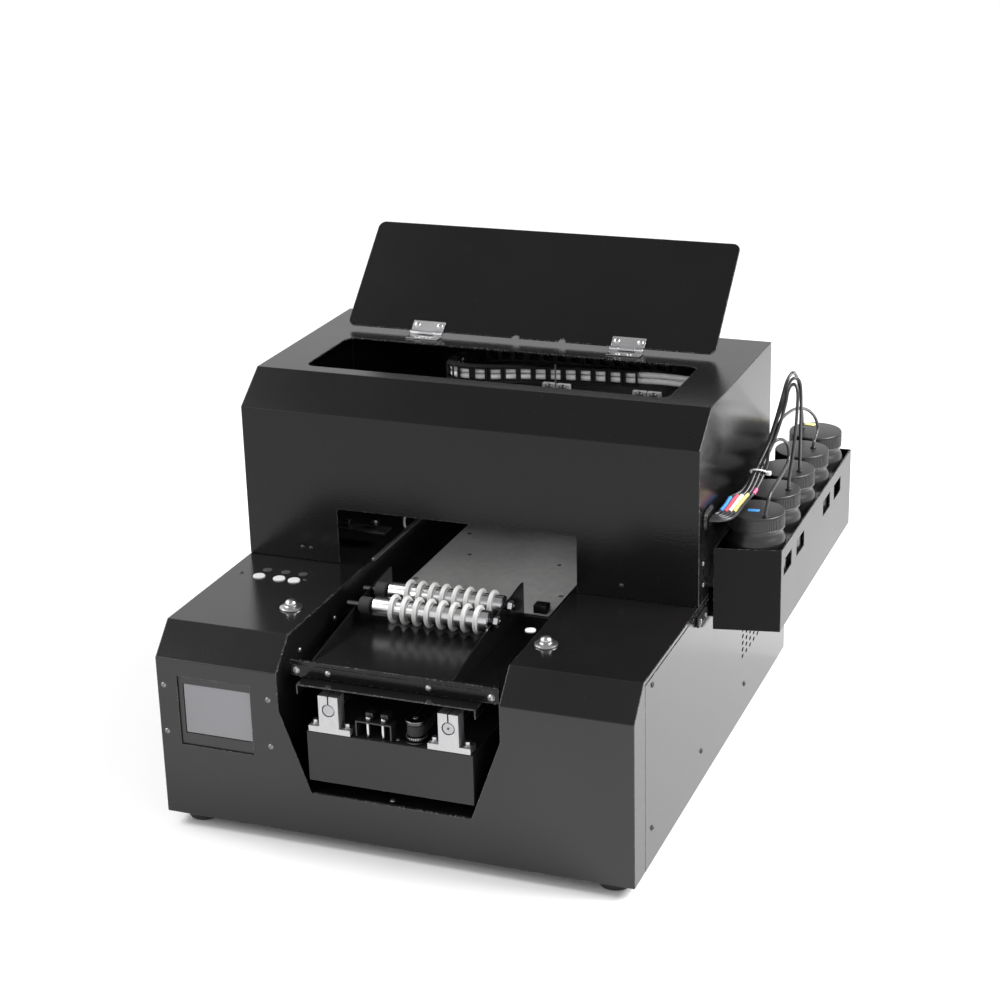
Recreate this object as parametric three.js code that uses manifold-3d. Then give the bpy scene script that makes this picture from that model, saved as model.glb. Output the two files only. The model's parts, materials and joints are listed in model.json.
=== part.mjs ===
// Flatbed UV printer: folded sheet-metal casing, lifting print stage with a sliding bed, rotary
// cradle, print carriage under a hinged lid, and a side tray of refillable ink bottles.
// Machine coordinates, in millimetres: X across, Y back from the front face, Z up from the
// underside of the casing. The last lines move the origin to the centre of the footprint, on the
// surface that the feet stand on.
import * as THREE from 'three';
import { mergeVertices } from 'three/addons/utils/BufferGeometryUtils.js';
import Module from 'manifold-3d';

const wasm = await Module();
wasm.setup();

// ---------- driving dimensions ----------
const CASE_W = 470;            // casing width
const CASE_D = 549;            // casing depth
const DECK_Z = 190;            // top of the deck
const HALF_W = CASE_W / 2;
const SHEET = 1.5;             // sheet-metal gauge
const GAP = 0.3;               // clearance between pieces that touch
const FOOT_H = 12;
const FOOT_R = 16;
const FOOT_INSET = 26;         // foot centre from the side and from the front or back

const FACE_TOP_Z = 162;        // where the front face meets the sloping edge
const SLOPE_BACK_Y = 28;       // where the sloping edge meets the deck
const FLANGE_D = 31.5;         // how far the front cover wraps round the sides
const RIM_H = 4;               // turned-down rim along the deck

const CHANNEL_HALF = 109.5;    // half width of the bed channel
const CHANNEL_FLOOR_Z = 44.5;
const CHANNEL_FLOOR_HALF = 80; // half width of the doorway at its foot
const CHANNEL_KNEE_Z = 125.5;  // doorway walls are upright above this height

const HOOD_FRONT_Y = 201.6;
const HOOD_BACK_Y = 466;
const HOOD_FACE_TOP_Z = 345.7;
const HOOD_TOP_Z = 375.4;
const HOOD_SLOPE_BACK_Y = 241.7;
const WINDOW = { x0: -136, x1: 114, z1: 248 };
const HATCH = { x0: -190, x1: 188, y0: 258, y1: 362, r: 10 };

const LID_AXIS = { y: 388.5, z: 378.5 };
const LID = { x0: -204, x1: 196, near: 3.5, far: 134.5, r: 8, under: 1.5, t: 1.7 };
const LID_NOTCH_X = [-15.6, 34.6];
const LID_OPEN_DEG = 137;
const HINGE_X = [-112.6, 105.2];
const HINGE = { w: 35, leafNear: 3, leafFar: 14.5, leafT: 1.1, knuckleR: 2.2, pinR: 1, middle: 16 };
const HINGE_SIDES = ['left', 'right'];

const SCREEN = { x0: -214, x1: -138, z0: 74.6, z1: 145.5 };
const BUTTON_X = [-198.3, -176.4, -160.3];
const BUTTON_Y = 147.3;
const BUTTON_R = 6;

const SWITCH = { x: 190, z: 70, w: 13, h: 20 };

const TRAY = { x0: 240, x1: 303, z0: 155.5, z1: 239, yIn: 233, yOut: 245 };
const TRAY_HOLE = { w: 31, h: 16, z: 218 };
const TRAY_HOLE_Y = [270, 321.5, 434.5, 484];
const BOTTLE = { x: 271.5, y0: 271, pitch: 61.2, r: 28.7, shoulderZ: 247, neckR: 25, neckZ: 252 };
const CAP = { r: 27.8, z0: 252.3, z1: 268, boreR: 25.5 };
const BOTTLES = 5;

const TUBE_R = 1.6;
const TUBE_SIDES = 8;
const TUBE_STEPS = 34;
const GROMMET = { y0: 214, y1: 242, z0: 265, z1: 279, r: 6, lip: 2.5, face: 238.5 };

const STAGE_Y0 = 2.2;          // front of the lifting stage
const STAGE_Y1 = 539;
const STAGE_HALF = 82.4;
const STAGE_Z0 = 57;
const STAGE_Z1 = 107.5;
const SHAFT_X = 59.3;
const SHAFT_R = 6;
const SHAFT_Z = 131;
const SUPPORT = { w: 42, block: 20, d: 14, base: 6, top: 145.3, slit: 1.2 };

const BED_Y0 = 20;
const BED_Y1 = 430;
const BED_HALF = 103;
const UNDER = { x0: -91, x1: 86, y0: 3, y1: 420, z0: 143.5, z1: 153.5 };
const BLOCK = { w: 40, y0: 240, y1: 400, z0: 116 };
const BED_PLATE_Z = 158;
const BED_BAR_TOP_Z = 170;
const CRADLE = { x0: -82.9, x1: 57.9, y0: 22.4, y1: 206, top: 169.3, slab: 3, wall: 1.6 };
const ROLLER = { y: [122, 160], z: 186, r: 10, axleR: 3, x0: -62.3, x1: 55.6, out: 8 };

const BEAM = { y0: 308, y1: 326, z0: 290, z1: 330 };
const CARRIAGE = { x0: 108, x1: 192, y0: 212, y1: 304, z0: 251, z1: 332 };
const LAMP = { x0: 76, y0: 222, y1: 292, z0: 253, z1: 300 };
const CHAIN = { z0: 343, z1: 360, t: 11 };

// ---------- helpers ----------
const part = new THREE.Group();
part.position.set(-(TRAY.x1 - HALF_W) / 2, -CASE_D / 2, FOOT_H);

function solid(geometry) {
  const bare = geometry.index ? geometry.toNonIndexed() : geometry.clone();
  bare.deleteAttribute('normal');
  bare.deleteAttribute('uv');
  const merged = mergeVertices(bare, 1e-4);
  return new wasm.Manifold(new wasm.Mesh({
    numProp: 3,
    vertProperties: new Float32Array(merged.attributes.position.array),
    triVerts: new Uint32Array(merged.index.array),
  }));
}

function geometryOf(body) {
  const mesh = body.getMesh();
  const geometry = new THREE.BufferGeometry();
  geometry.setAttribute('position', new THREE.BufferAttribute(new Float32Array(mesh.vertProperties), 3));
  geometry.setIndex(new THREE.BufferAttribute(new Uint32Array(mesh.triVerts), 1));
  return geometry;
}

function block(x0, x1, y0, y1, z0, z1) {
  const geometry = new THREE.BoxGeometry(x1 - x0, y1 - y0, z1 - z0);
  geometry.translate((x0 + x1) / 2, (y0 + y1) / 2, (z0 + z1) / 2);
  return solid(geometry);
}

function outline(points) {
  return new THREE.Shape(points.map(([a, b]) => new THREE.Vector2(a, b)));
}

// Shape in (Y, Z), extruded along X.
function alongX(shape, x0, x1) {
  const geometry = new THREE.ExtrudeGeometry(shape, { depth: x1 - x0, bevelEnabled: false,
    curveSegments: 4 });
  geometry.applyMatrix4(new THREE.Matrix4().set(0, 0, 1, x0, 1, 0, 0, 0, 0, 1, 0, 0, 0, 0, 0, 1));
  return solid(geometry);
}

// Shape in (X, Z), extruded along Y.
function alongY(shape, y0, y1) {
  const geometry = new THREE.ExtrudeGeometry(shape, { depth: y1 - y0, bevelEnabled: false,
    curveSegments: 4 });
  geometry.applyMatrix4(new THREE.Matrix4().set(1, 0, 0, 0, 0, 0, -1, y1, 0, 1, 0, 0, 0, 0, 0, 1));
  return solid(geometry);
}

// Shape in (X, Y), extruded along Z.
function alongZ(shape, z0, z1) {
  const geometry = new THREE.ExtrudeGeometry(shape, { depth: z1 - z0, bevelEnabled: false,
    curveSegments: 4 });
  geometry.translate(0, 0, z0);
  return solid(geometry);
}

// Round bar between two ends on an axis: 'x', 'y' or 'z'.
function rod(axis, a, b, from, to, radius, sides = 20) {
  const geometry = new THREE.CylinderGeometry(radius, radius, to - from, sides);
  const middle = (from + to) / 2;
  if (axis === 'x') {
    geometry.rotateZ(Math.PI / 2);
    geometry.translate(middle, a, b);
  } else if (axis === 'y') {
    geometry.translate(a, middle, b);
  } else {
    geometry.rotateX(Math.PI / 2);
    geometry.translate(a, b, middle);
  }
  return solid(geometry);
}

// Turned piece about an upright axis; the profile is a list of [radius, z].
function turned(profile, x, y, sides = 24) {
  const geometry = new THREE.LatheGeometry(profile.map(([r, z]) => new THREE.Vector2(r, z)), sides);
  geometry.rotateX(Math.PI / 2);
  geometry.translate(x, y, 0);
  return solid(geometry);
}

function roundedRect(x0, x1, y0, y1, r) {
  const shape = new THREE.Shape();
  shape.moveTo(x0 + r, y0);
  shape.lineTo(x1 - r, y0);
  shape.absarc(x1 - r, y0 + r, r, -Math.PI / 2, 0);
  shape.lineTo(x1, y1 - r);
  shape.absarc(x1 - r, y1 - r, r, 0, Math.PI / 2);
  shape.lineTo(x0 + r, y1);
  shape.absarc(x0 + r, y1 - r, r, Math.PI / 2, Math.PI);
  shape.lineTo(x0, y0 + r);
  shape.absarc(x0 + r, y0 + r, r, Math.PI, 1.5 * Math.PI);
  return shape;
}

function grommetOutline(grow) {
  const g = GROMMET;
  return roundedRect(g.y0 - grow, g.y1 + grow, g.z0 - grow, g.z1 + grow, g.r + grow);
}

function finish(color, roughness, metalness) {
  return new THREE.MeshStandardMaterial({ color, roughness, metalness });
}

function add(name, body, material, group = part) {
  const mesh = new THREE.Mesh(geometryOf(body), material);
  mesh.name = name;
  group.add(mesh);
}

const powder = finish(0x262526, 0.5, 0.2);
const blackGloss = finish(0x0c0c0d, 0.18, 0.1);
const stageGrey = finish(0x6c6b6c, 0.5, 0.3);
const aluminium = finish(0xd8d8da, 0.35, 0.9);
const steel = finish(0xb9babd, 0.2, 1.0);
const rubber = finish(0x161616, 0.9, 0);
const whitePlastic = finish(0xf0f0f0, 0.4, 0);
const blackPlastic = finish(0x141415, 0.45, 0);
const screenGlass = finish(0xb5b7b9, 0.15, 0);

// ---------- casing ----------
function frontCover() {
  const side = outline([[0, 0], [0, FACE_TOP_Z], [SLOPE_BACK_Y, DECK_Z], [CASE_D - SHEET - GAP, DECK_Z],
    [CASE_D - SHEET - GAP, 0]]);
  const inner = outline([[SHEET, -1], [SHEET, FACE_TOP_Z - SHEET / 2],
    [SLOPE_BACK_Y + SHEET / 2, DECK_Z - SHEET], [CASE_D, DECK_Z - SHEET], [CASE_D, -1]]);
  const doorway = outline([[-CHANNEL_FLOOR_HALF, CHANNEL_FLOOR_Z], [CHANNEL_FLOOR_HALF, CHANNEL_FLOOR_Z],
    [CHANNEL_HALF, CHANNEL_KNEE_Z], [CHANNEL_HALF, DECK_Z + 1], [-CHANNEL_HALF, DECK_Z + 1],
    [-CHANNEL_HALF, CHANNEL_KNEE_Z]]);
  let body = alongX(side, -HALF_W, HALF_W);
  body = body.subtract(alongX(inner, -HALF_W + SHEET, HALF_W - SHEET));
  body = body.subtract(block(-CASE_W, CASE_W, FLANGE_D, CASE_D + 1, -1, DECK_Z - RIM_H));
  body = body.subtract(alongY(doorway, -1, SLOPE_BACK_Y + 10));
  body = body.subtract(block(-CHANNEL_HALF, CHANNEL_HALF, SLOPE_BACK_Y, HOOD_BACK_Y - 2, DECK_Z - 10,
    DECK_Z + 1));
  body = body.subtract(block(SCREEN.x0, SCREEN.x1, -1, 5, SCREEN.z0, SCREEN.z1));
  for (const x of BUTTON_X) {
    body = body.subtract(rod('z', x, BUTTON_Y, DECK_Z - 5, DECK_Z + 5, BUTTON_R + 0.4, 16));
  }
  return body;
}

function casing() {
  const inside = HALF_W - SHEET - GAP;
  const back = CASE_D - SHEET - GAP;
  add('front_cover', frontCover(), powder);
  add('base_plate', block(-inside, inside, SHEET + GAP, back, 0, SHEET), powder);
  const panelTop = DECK_Z - RIM_H - 1;
  add('left_side_panel', block(-HALF_W, -HALF_W + SHEET, FLANGE_D + 1, back, 0, panelTop), powder);
  add('right_side_panel', block(HALF_W - SHEET, HALF_W, FLANGE_D + 1, back, 0, panelTop), powder);
  const inlet = block(SWITCH.x - SWITCH.w / 2 - GAP, SWITCH.x + SWITCH.w / 2 + GAP, CASE_D - 5, CASE_D + 1,
    SWITCH.z - SWITCH.h / 2 - 1.5, SWITCH.z + SWITCH.h / 2 + 1.5);
  add('rear_panel', block(-HALF_W, HALF_W, CASE_D - SHEET, CASE_D, 0, DECK_Z).subtract(inlet), powder);
  const wallBottom = CHANNEL_FLOOR_Z + GAP;
  const wallTop = DECK_Z - SHEET - GAP;
  const wallIn = CHANNEL_HALF + GAP;
  const wall = outline([[SHEET + GAP, wallBottom], [SHEET + GAP, FACE_TOP_Z - SHEET],
    [SLOPE_BACK_Y + 2, wallTop], [back, wallTop], [back, wallBottom]]);
  add('left_channel_wall', alongX(wall, -wallIn - SHEET, -wallIn), powder);
  add('right_channel_wall', alongX(wall, wallIn, wallIn + SHEET), powder);
  add('channel_floor', block(-wallIn - SHEET, wallIn + SHEET, SHEET + GAP, back, CHANNEL_FLOOR_Z - SHEET,
    CHANNEL_FLOOR_Z), powder);
}

function feet() {
  for (const [row, y] of [['front', FOOT_INSET], ['rear', CASE_D - FOOT_INSET]]) {
    for (const [side, x] of [['left', -HALF_W + FOOT_INSET], ['right', HALF_W - FOOT_INSET]]) {
      const profile = [[0, -FOOT_H], [FOOT_R - 2, -FOOT_H], [FOOT_R, -GAP], [0, -GAP]];
      add(`foot_${row}_${side}`, turned(profile, x, y, 16), rubber);
    }
  }
}

// ---------- hood and lid ----------
function hood() {
  const low = DECK_Z + GAP;
  const outer = outline([[HOOD_FRONT_Y, low], [HOOD_FRONT_Y, HOOD_FACE_TOP_Z],
    [HOOD_SLOPE_BACK_Y, HOOD_TOP_Z], [HOOD_BACK_Y, HOOD_TOP_Z], [HOOD_BACK_Y, low]]);
  const inner = outline([[HOOD_FRONT_Y + SHEET, low - 1],
    [HOOD_FRONT_Y + SHEET, HOOD_FACE_TOP_Z - SHEET / 2],
    [HOOD_SLOPE_BACK_Y + SHEET / 2, HOOD_TOP_Z - SHEET], [HOOD_BACK_Y - SHEET, HOOD_TOP_Z - SHEET],
    [HOOD_BACK_Y - SHEET, low - 1]]);
  let body = alongX(outer, -HALF_W, HALF_W);
  body = body.subtract(alongX(inner, -HALF_W + SHEET, HALF_W - SHEET));
  body = body.subtract(block(WINDOW.x0, WINDOW.x1, HOOD_FRONT_Y - 1, HOOD_FRONT_Y + 5, DECK_Z - 1,
    WINDOW.z1));
  const hatch = roundedRect(HATCH.x0, HATCH.x1, HATCH.y0, HATCH.y1, HATCH.r);
  body = body.subtract(alongZ(hatch, HOOD_TOP_Z - 5, HOOD_TOP_Z + 1));
  body = body.subtract(alongX(grommetOutline(GAP), HALF_W - 5, HALF_W + 5));
  add('hood_shell', body, powder);
}

// The lid and its hinge leaves are drawn closed, about the hinge axis, and turned open together.
function lid() {
  const opened = new THREE.Group();
  opened.position.set(0, LID_AXIS.y, LID_AXIS.z);
  opened.rotation.x = -THREE.MathUtils.degToRad(LID_OPEN_DEG);
  part.add(opened);
  const sheet = roundedRect(LID.x0, LID.x1, -LID.far, -LID.near, LID.r);
  let panel = alongZ(sheet, LID.under, LID.under + LID.t);
  for (const x of LID_NOTCH_X) {
    panel = panel.subtract(rod('z', x, -LID.near, 0, LID.under + LID.t + 1, 4, 12));
  }
  add('lid_panel', panel, powder, opened);
  HINGE_X.forEach((x, i) => {
    const x0 = x - HINGE.w / 2;
    const x1 = x + HINGE.w / 2;
    const half = HINGE.middle / 2;
    const leafTop = LID.under - GAP;
    let moving = block(x0, x1, -HINGE.leafFar, -HINGE.leafNear, leafTop - HINGE.leafT, leafTop);
    moving = moving.add(block(x - half, x + half, -HINGE.leafNear - 1, -1, leafTop - HINGE.leafT, leafTop));
    moving = moving.add(rod('x', 0, 0, x - half, x + half, HINGE.knuckleR, 12));
    moving = moving.subtract(rod('x', 0, 0, x - half - 1, x + half + 1, HINGE.pinR + GAP, 12));
    add(`${HINGE_SIDES[i]}_lid_hinge_leaf`, moving, steel, opened);

    const axis = LID_AXIS;
    const floor = HOOD_TOP_Z + GAP;
    let fixed = block(x0, x1, axis.y - HINGE.leafFar, axis.y - HINGE.leafNear, floor, floor + HINGE.leafT);
    for (const [a, b] of [[x0, x - half - GAP], [x + half + GAP, x1]]) {
      fixed = fixed.add(block(a, b, axis.y - HINGE.leafNear - 1, axis.y, floor, floor + HINGE.leafT));
      fixed = fixed.add(rod('x', axis.y, axis.z, a, b, HINGE.knuckleR, 12));
    }
    fixed = fixed.add(rod('x', axis.y, axis.z, x0, x1, HINGE.pinR, 12));
    add(`${HINGE_SIDES[i]}_hood_hinge_leaf`, fixed, steel);
  });
}

// ---------- controls ----------
function controls() {
  const y0 = SHEET + GAP;
  const rim = 7;
  let bezel = block(SCREEN.x0 - rim, SCREEN.x1 + rim, y0, y0 + 8, SCREEN.z0 - rim, SCREEN.z1 + rim);
  bezel = bezel.subtract(block(SCREEN.x0 + 5, SCREEN.x1 - 0.5, y0 - 1, y0 + 9, SCREEN.z0 + 12,
    SCREEN.z1 - 8));
  add('display_bezel', bezel, blackPlastic);
  add('display_screen', block(SCREEN.x0 + 5.3, SCREEN.x1 - 0.8, y0 + 1, y0 + 6, SCREEN.z0 + 12.3,
    SCREEN.z1 - 8.3), screenGlass);
  BUTTON_X.forEach((x, i) => {
    const profile = [[0, 181], [7.6, 181], [7.6, 183], [BUTTON_R, 183], [BUTTON_R, 191],
      [BUTTON_R - 0.6, 191.4], [0, 191.4]];
    add(`control_button_${i + 1}`, turned(profile, x, BUTTON_Y, 16), whitePlastic);
  });
  const rocker = outline([[CASE_D - 9, SWITCH.z - 5], [CASE_D - 0.2, SWITCH.z - SWITCH.h / 2],
    [CASE_D - 2.2, SWITCH.z], [CASE_D - 0.2, SWITCH.z + SWITCH.h / 2], [CASE_D - 9, SWITCH.z + 5]]);
  add('power_switch', alongX(rocker, SWITCH.x - SWITCH.w / 2, SWITCH.x + SWITCH.w / 2), blackPlastic);
}

// ---------- ink supply ----------
function inkTray() {
  const frontAt = (x) => TRAY.yIn + (x - TRAY.x0) / (TRAY.x1 - TRAY.x0) * (TRAY.yOut - TRAY.yIn);
  const outer = outline([[TRAY.x0, frontAt(TRAY.x0)], [TRAY.x1, frontAt(TRAY.x1)], [TRAY.x1, CASE_D],
    [TRAY.x0, CASE_D]]);
  const innerX0 = TRAY.x0 + SHEET;
  const innerX1 = TRAY.x1 - SHEET;
  const inner = outline([[innerX0, frontAt(innerX0) + SHEET], [innerX1, frontAt(innerX1) + SHEET],
    [innerX1, CASE_D - SHEET], [innerX0, CASE_D - SHEET]]);
  let body = alongZ(outer, TRAY.z0, TRAY.z1).subtract(alongZ(inner, TRAY.z0 + SHEET, TRAY.z1 + 1));
  for (const y of TRAY_HOLE_Y) {
    const hole = TRAY_HOLE;
    body = body.subtract(block(TRAY.x1 - 5, TRAY.x1 + 5, y - hole.w / 2, y + hole.w / 2,
      hole.z - hole.h / 2, hole.z + hole.h / 2));
  }
  for (const y of [262, 500]) {
    body = body.add(block(HALF_W + GAP, TRAY.x0 + 0.5, y, y + 24, TRAY.z0, TRAY.z0 + 22));
  }
  add('ink_tray', body, powder);
}

function bottles() {
  const floor = TRAY.z0 + SHEET + GAP;
  for (let i = 0; i < BOTTLES; i += 1) {
    const y = BOTTLE.y0 + i * BOTTLE.pitch;
    const profile = [[0, floor], [BOTTLE.r - 2, floor], [BOTTLE.r, floor + 2],
      [BOTTLE.r, BOTTLE.shoulderZ - 9],
      [BOTTLE.r - 1, BOTTLE.shoulderZ - 3], [BOTTLE.neckR, BOTTLE.shoulderZ], [BOTTLE.neckR, CAP.z1 - 3],
      [0, CAP.z1 - 3]];
    add(`ink_bottle_${i + 1}`, turned(profile, BOTTLE.x, y), blackPlastic);
    const cap = [[0, CAP.z1 - 3 + GAP], [CAP.boreR, CAP.z1 - 3 + GAP], [CAP.boreR, CAP.z0], [CAP.r, CAP.z0],
      [CAP.r, CAP.z1 - 1], [CAP.r - 1, CAP.z1], [0, CAP.z1]];
    add(`bottle_cap_${i + 1}`, turned(cap, BOTTLE.x, y), blackPlastic);
  }
}

// Routes of the ink tubes, from the grommet in the hood's side to the bottle caps.
const TUBE_ROUTES = [
  [[239.4, 220, 272], [249.1, 222.6, 272], [256.3, 229.6, 272], [259, 239.6, 272], [259.3, 264, 272],
    [260.1, 286, 272.3], [263.3, 299, 276.5], [267.6, 322, 293.4], [272.3, 315.9, 315.3],
    [277, 319.4, 321.4], [281.4, 328.3, 320.1], [284.6, 338.2, 310.7], [286.2, 335.9, 299.3],
    [286.8, 310.7, 293.6], [286.5, 277, 290.1], [285.8, 264, 286.5], [285.2, 256.5, 279],
    [285, 253.4, 273.5], [285, 253, 268.6]],
  [[239.4, 224, 272], [247.1, 226, 272], [252.8, 231.7, 272], [255, 239.6, 272], [255.3, 264, 272],
    [255.7, 286, 272.3], [259.3, 299, 276.5], [263.6, 322, 293.4], [268.6, 343.9, 310.5],
    [272.4, 358.8, 329.8], [275.6, 364, 347], [276.6, 367, 356.4], [278.4, 369.6, 361.2],
    [281.3, 371, 363], [284.1, 370.2, 360.8], [285.9, 368, 355.6], [287, 363, 341], [287.7, 353, 316],
    [288, 341, 294], [287.8, 333.8, 282], [287.6, 332.1, 275], [287.6, 332, 268.6]],
  [[239.4, 228, 272], [245.1, 229.5, 272], [249.4, 233.7, 272], [251, 239.6, 272], [251.3, 264, 272],
    [251.3, 286, 272.3], [255.3, 299, 276.5], [259.6, 322, 293.4], [264.6, 343.9, 310.5],
    [268.4, 358.8, 329.8], [273, 370.8, 348], [274.4, 374.6, 358.4], [276.4, 378, 363.8],
    [279.4, 381.4, 366], [282.4, 384.2, 363.8], [284.2, 385.7, 358.6], [285.2, 386.2, 347],
    [285.6, 385.6, 325], [285.5, 385.8, 300], [285.4, 386.4, 280], [285.4, 386.4, 268.6]],
  [[239.4, 232, 272], [243.2, 233, 272], [245.9, 235.7, 272], [247, 239.6, 272], [247.3, 264, 272],
    [247.4, 286, 272.3], [253.1, 300.3, 274.1], [261.5, 324.3, 290.4], [266.5, 346.6, 307.8],
    [270.2, 363, 325.8], [272.4, 392.7, 327.1], [275, 424.5, 321], [278.4, 454.6, 309], [281, 474, 294],
    [282.7, 475.8, 284.8], [282.6, 468.5, 277.6], [282.1, 461.6, 273.6], [282, 460, 268.6]],
  [[239.9, 237, 272], [241.6, 239, 272], [242.6, 241.3, 272], [243, 244, 272], [243.3, 264, 272],
    [243, 286, 272.3], [249, 300.3, 274.1], [257.4, 324.3, 290.4], [262.4, 346.6, 307.8],
    [266.2, 361.9, 327.7], [269.4, 377, 350], [271.6, 382.5, 362], [274.2, 392, 367.6],
    [274.8, 406, 361.5], [272.4, 432, 341.5], [268.4, 458, 319], [263.8, 484, 298.5],
    [259.4, 506, 283.5], [257, 516.5, 276.5], [256.5, 519, 272.5], [256.5, 519, 268.6]],
];

function tubes() {
  const lip = alongX(grommetOutline(GROMMET.lip), HALF_W + GAP, HALF_W + 2.3);
  add('tube_grommet', alongX(grommetOutline(0), HALF_W - 4, GROMMET.face).add(lip), rubber);
  const section = new THREE.Shape();
  for (let i = 0; i < TUBE_SIDES; i += 1) {
    const angle = (i / TUBE_SIDES) * 2 * Math.PI;
    const corner = [TUBE_R * Math.cos(angle), TUBE_R * Math.sin(angle)];
    if (i === 0) {
      section.moveTo(...corner);
    } else {
      section.lineTo(...corner);
    }
  }
  TUBE_ROUTES.forEach((route, i) => {
    const path = new THREE.CatmullRomCurve3(route.map((p) => new THREE.Vector3(...p)));
    const geometry = new THREE.ExtrudeGeometry(section, { steps: TUBE_STEPS, extrudePath: path,
      bevelEnabled: false });
    add(`ink_tube_${i + 1}`, solid(geometry), blackPlastic);
  });
}

// ---------- print carriage ----------
function carriage() {
  const inside = HALF_W - SHEET - GAP;
  add('carriage_beam', block(-inside, inside, BEAM.y0, BEAM.y1, BEAM.z0, BEAM.z1), aluminium);
  const c = CARRIAGE;
  let body = block(c.x0, c.x1, c.y0, c.y1, c.z0 + 3, c.z1);
  body = body.add(block(c.x0 + 16, c.x1 - 16, c.y0 + 18, c.y1 - 18, c.z0, c.z0 + 4));
  body = body.subtract(block(c.x0 - 1, c.x1 + 1, c.y0 - 1, c.y0 + 26, c.z1 - 24, c.z1 + 1));
  add('print_carriage', body, blackPlastic);
  add('uv_lamp', block(LAMP.x0, c.x0 - GAP, LAMP.y0, LAMP.y1, LAMP.z0, LAMP.z1), aluminium);
}

// Cable chain on its side: a front run, a bend at the left and a rear run.
function dragChain() {
  const t = CHAIN.t;
  const centre = new THREE.CatmullRomCurve3([[112, 383], [60, 377], [5, 366], [-45, 352], [-70, 356],
    [-74, 388], [-56, 424], [-10, 438], [60, 440], [128, 440]].map(([x, y]) => new THREE.Vector3(x, y, 0)));
  const left = [];
  const right = [];
  const steps = 22;
  for (let i = 0; i <= steps; i += 1) {
    const at = centre.getPoint(i / steps);
    const along = centre.getTangent(i / steps);
    left.push([at.x - along.y * t / 2, at.y + along.x * t / 2]);
    right.unshift([at.x + along.y * t / 2, at.y - along.x * t / 2]);
  }
  add('drag_chain', alongZ(outline([...left, ...right]), CHAIN.z0, CHAIN.z1), blackPlastic);
}

// ---------- lifting stage ----------
function stage() {
  const wall = SHEET;
  let frame = block(-STAGE_HALF, STAGE_HALF, STAGE_Y0, STAGE_Y1, STAGE_Z0, STAGE_Z1);
  frame = frame.subtract(block(-STAGE_HALF + wall, STAGE_HALF - wall, STAGE_Y0 + wall, STAGE_Y1 - wall,
    STAGE_Z0 - 1, STAGE_Z1 - 2));
  add('stage_frame', frame, stageGrey);

  const seat = STAGE_Z1 + GAP;
  for (const [side, x] of [['left', -SHAFT_X], ['right', SHAFT_X]]) {
    const y1 = STAGE_Y0 + SUPPORT.d;
    let support = block(x - SUPPORT.w / 2, x + SUPPORT.w / 2, STAGE_Y0, y1, seat, seat + SUPPORT.base);
    support = support.add(block(x - SUPPORT.block / 2, x + SUPPORT.block / 2, STAGE_Y0, y1, seat,
      SUPPORT.top));
    support = support.subtract(rod('y', x, SHAFT_Z, STAGE_Y0 - 1, y1 + 1, SHAFT_R + GAP));
    support = support.subtract(block(x - SUPPORT.slit / 2, x + SUPPORT.slit / 2, STAGE_Y0 - 1, y1 + 1,
      SHAFT_Z, SUPPORT.top + 1));
    add(`${side}_shaft_support`, support, aluminium);
    add(`${side}_shaft`, rod('y', x, SHAFT_Z, STAGE_Y0 + 0.4, STAGE_Y1 - 1, SHAFT_R), steel);
  }
  let rear = block(-STAGE_HALF, STAGE_HALF, STAGE_Y1 - SUPPORT.d, STAGE_Y1, seat, SUPPORT.top);
  for (const x of [-SHAFT_X, SHAFT_X]) {
    rear = rear.subtract(rod('y', x, SHAFT_Z, STAGE_Y1 - SUPPORT.d - 1, STAGE_Y1 + 1, SHAFT_R + GAP));
  }
  add('rear_shaft_block', rear, aluminium);

  const idler = [[0, 109], [8.2, 109], [8.2, 111], [9.8, 112], [9.8, 113.4], [7, 113.6], [7, 125.4],
    [9.8, 125.6], [9.8, 127], [8, 130], [0, 130]];
  add('belt_idler', turned(idler, 22, 16.5, 20), steel);

  let bracket = block(-34, 2, 5, 17, 122.5, 124);
  bracket = bracket.add(block(0.5, 2, 5, 17, seat, 124)).add(block(-34, -32.5, 5, 17, seat, 124));
  for (const x of [-22, -7]) {
    bracket = bracket.add(rod('z', x, 9, seat + 1, 126, 1.6, 10));
    bracket = bracket.add(rod('z', x, 9, 124, 126.8, 2.8, 10));
  }
  add('limit_sensor', bracket, blackPlastic);
}

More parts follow.
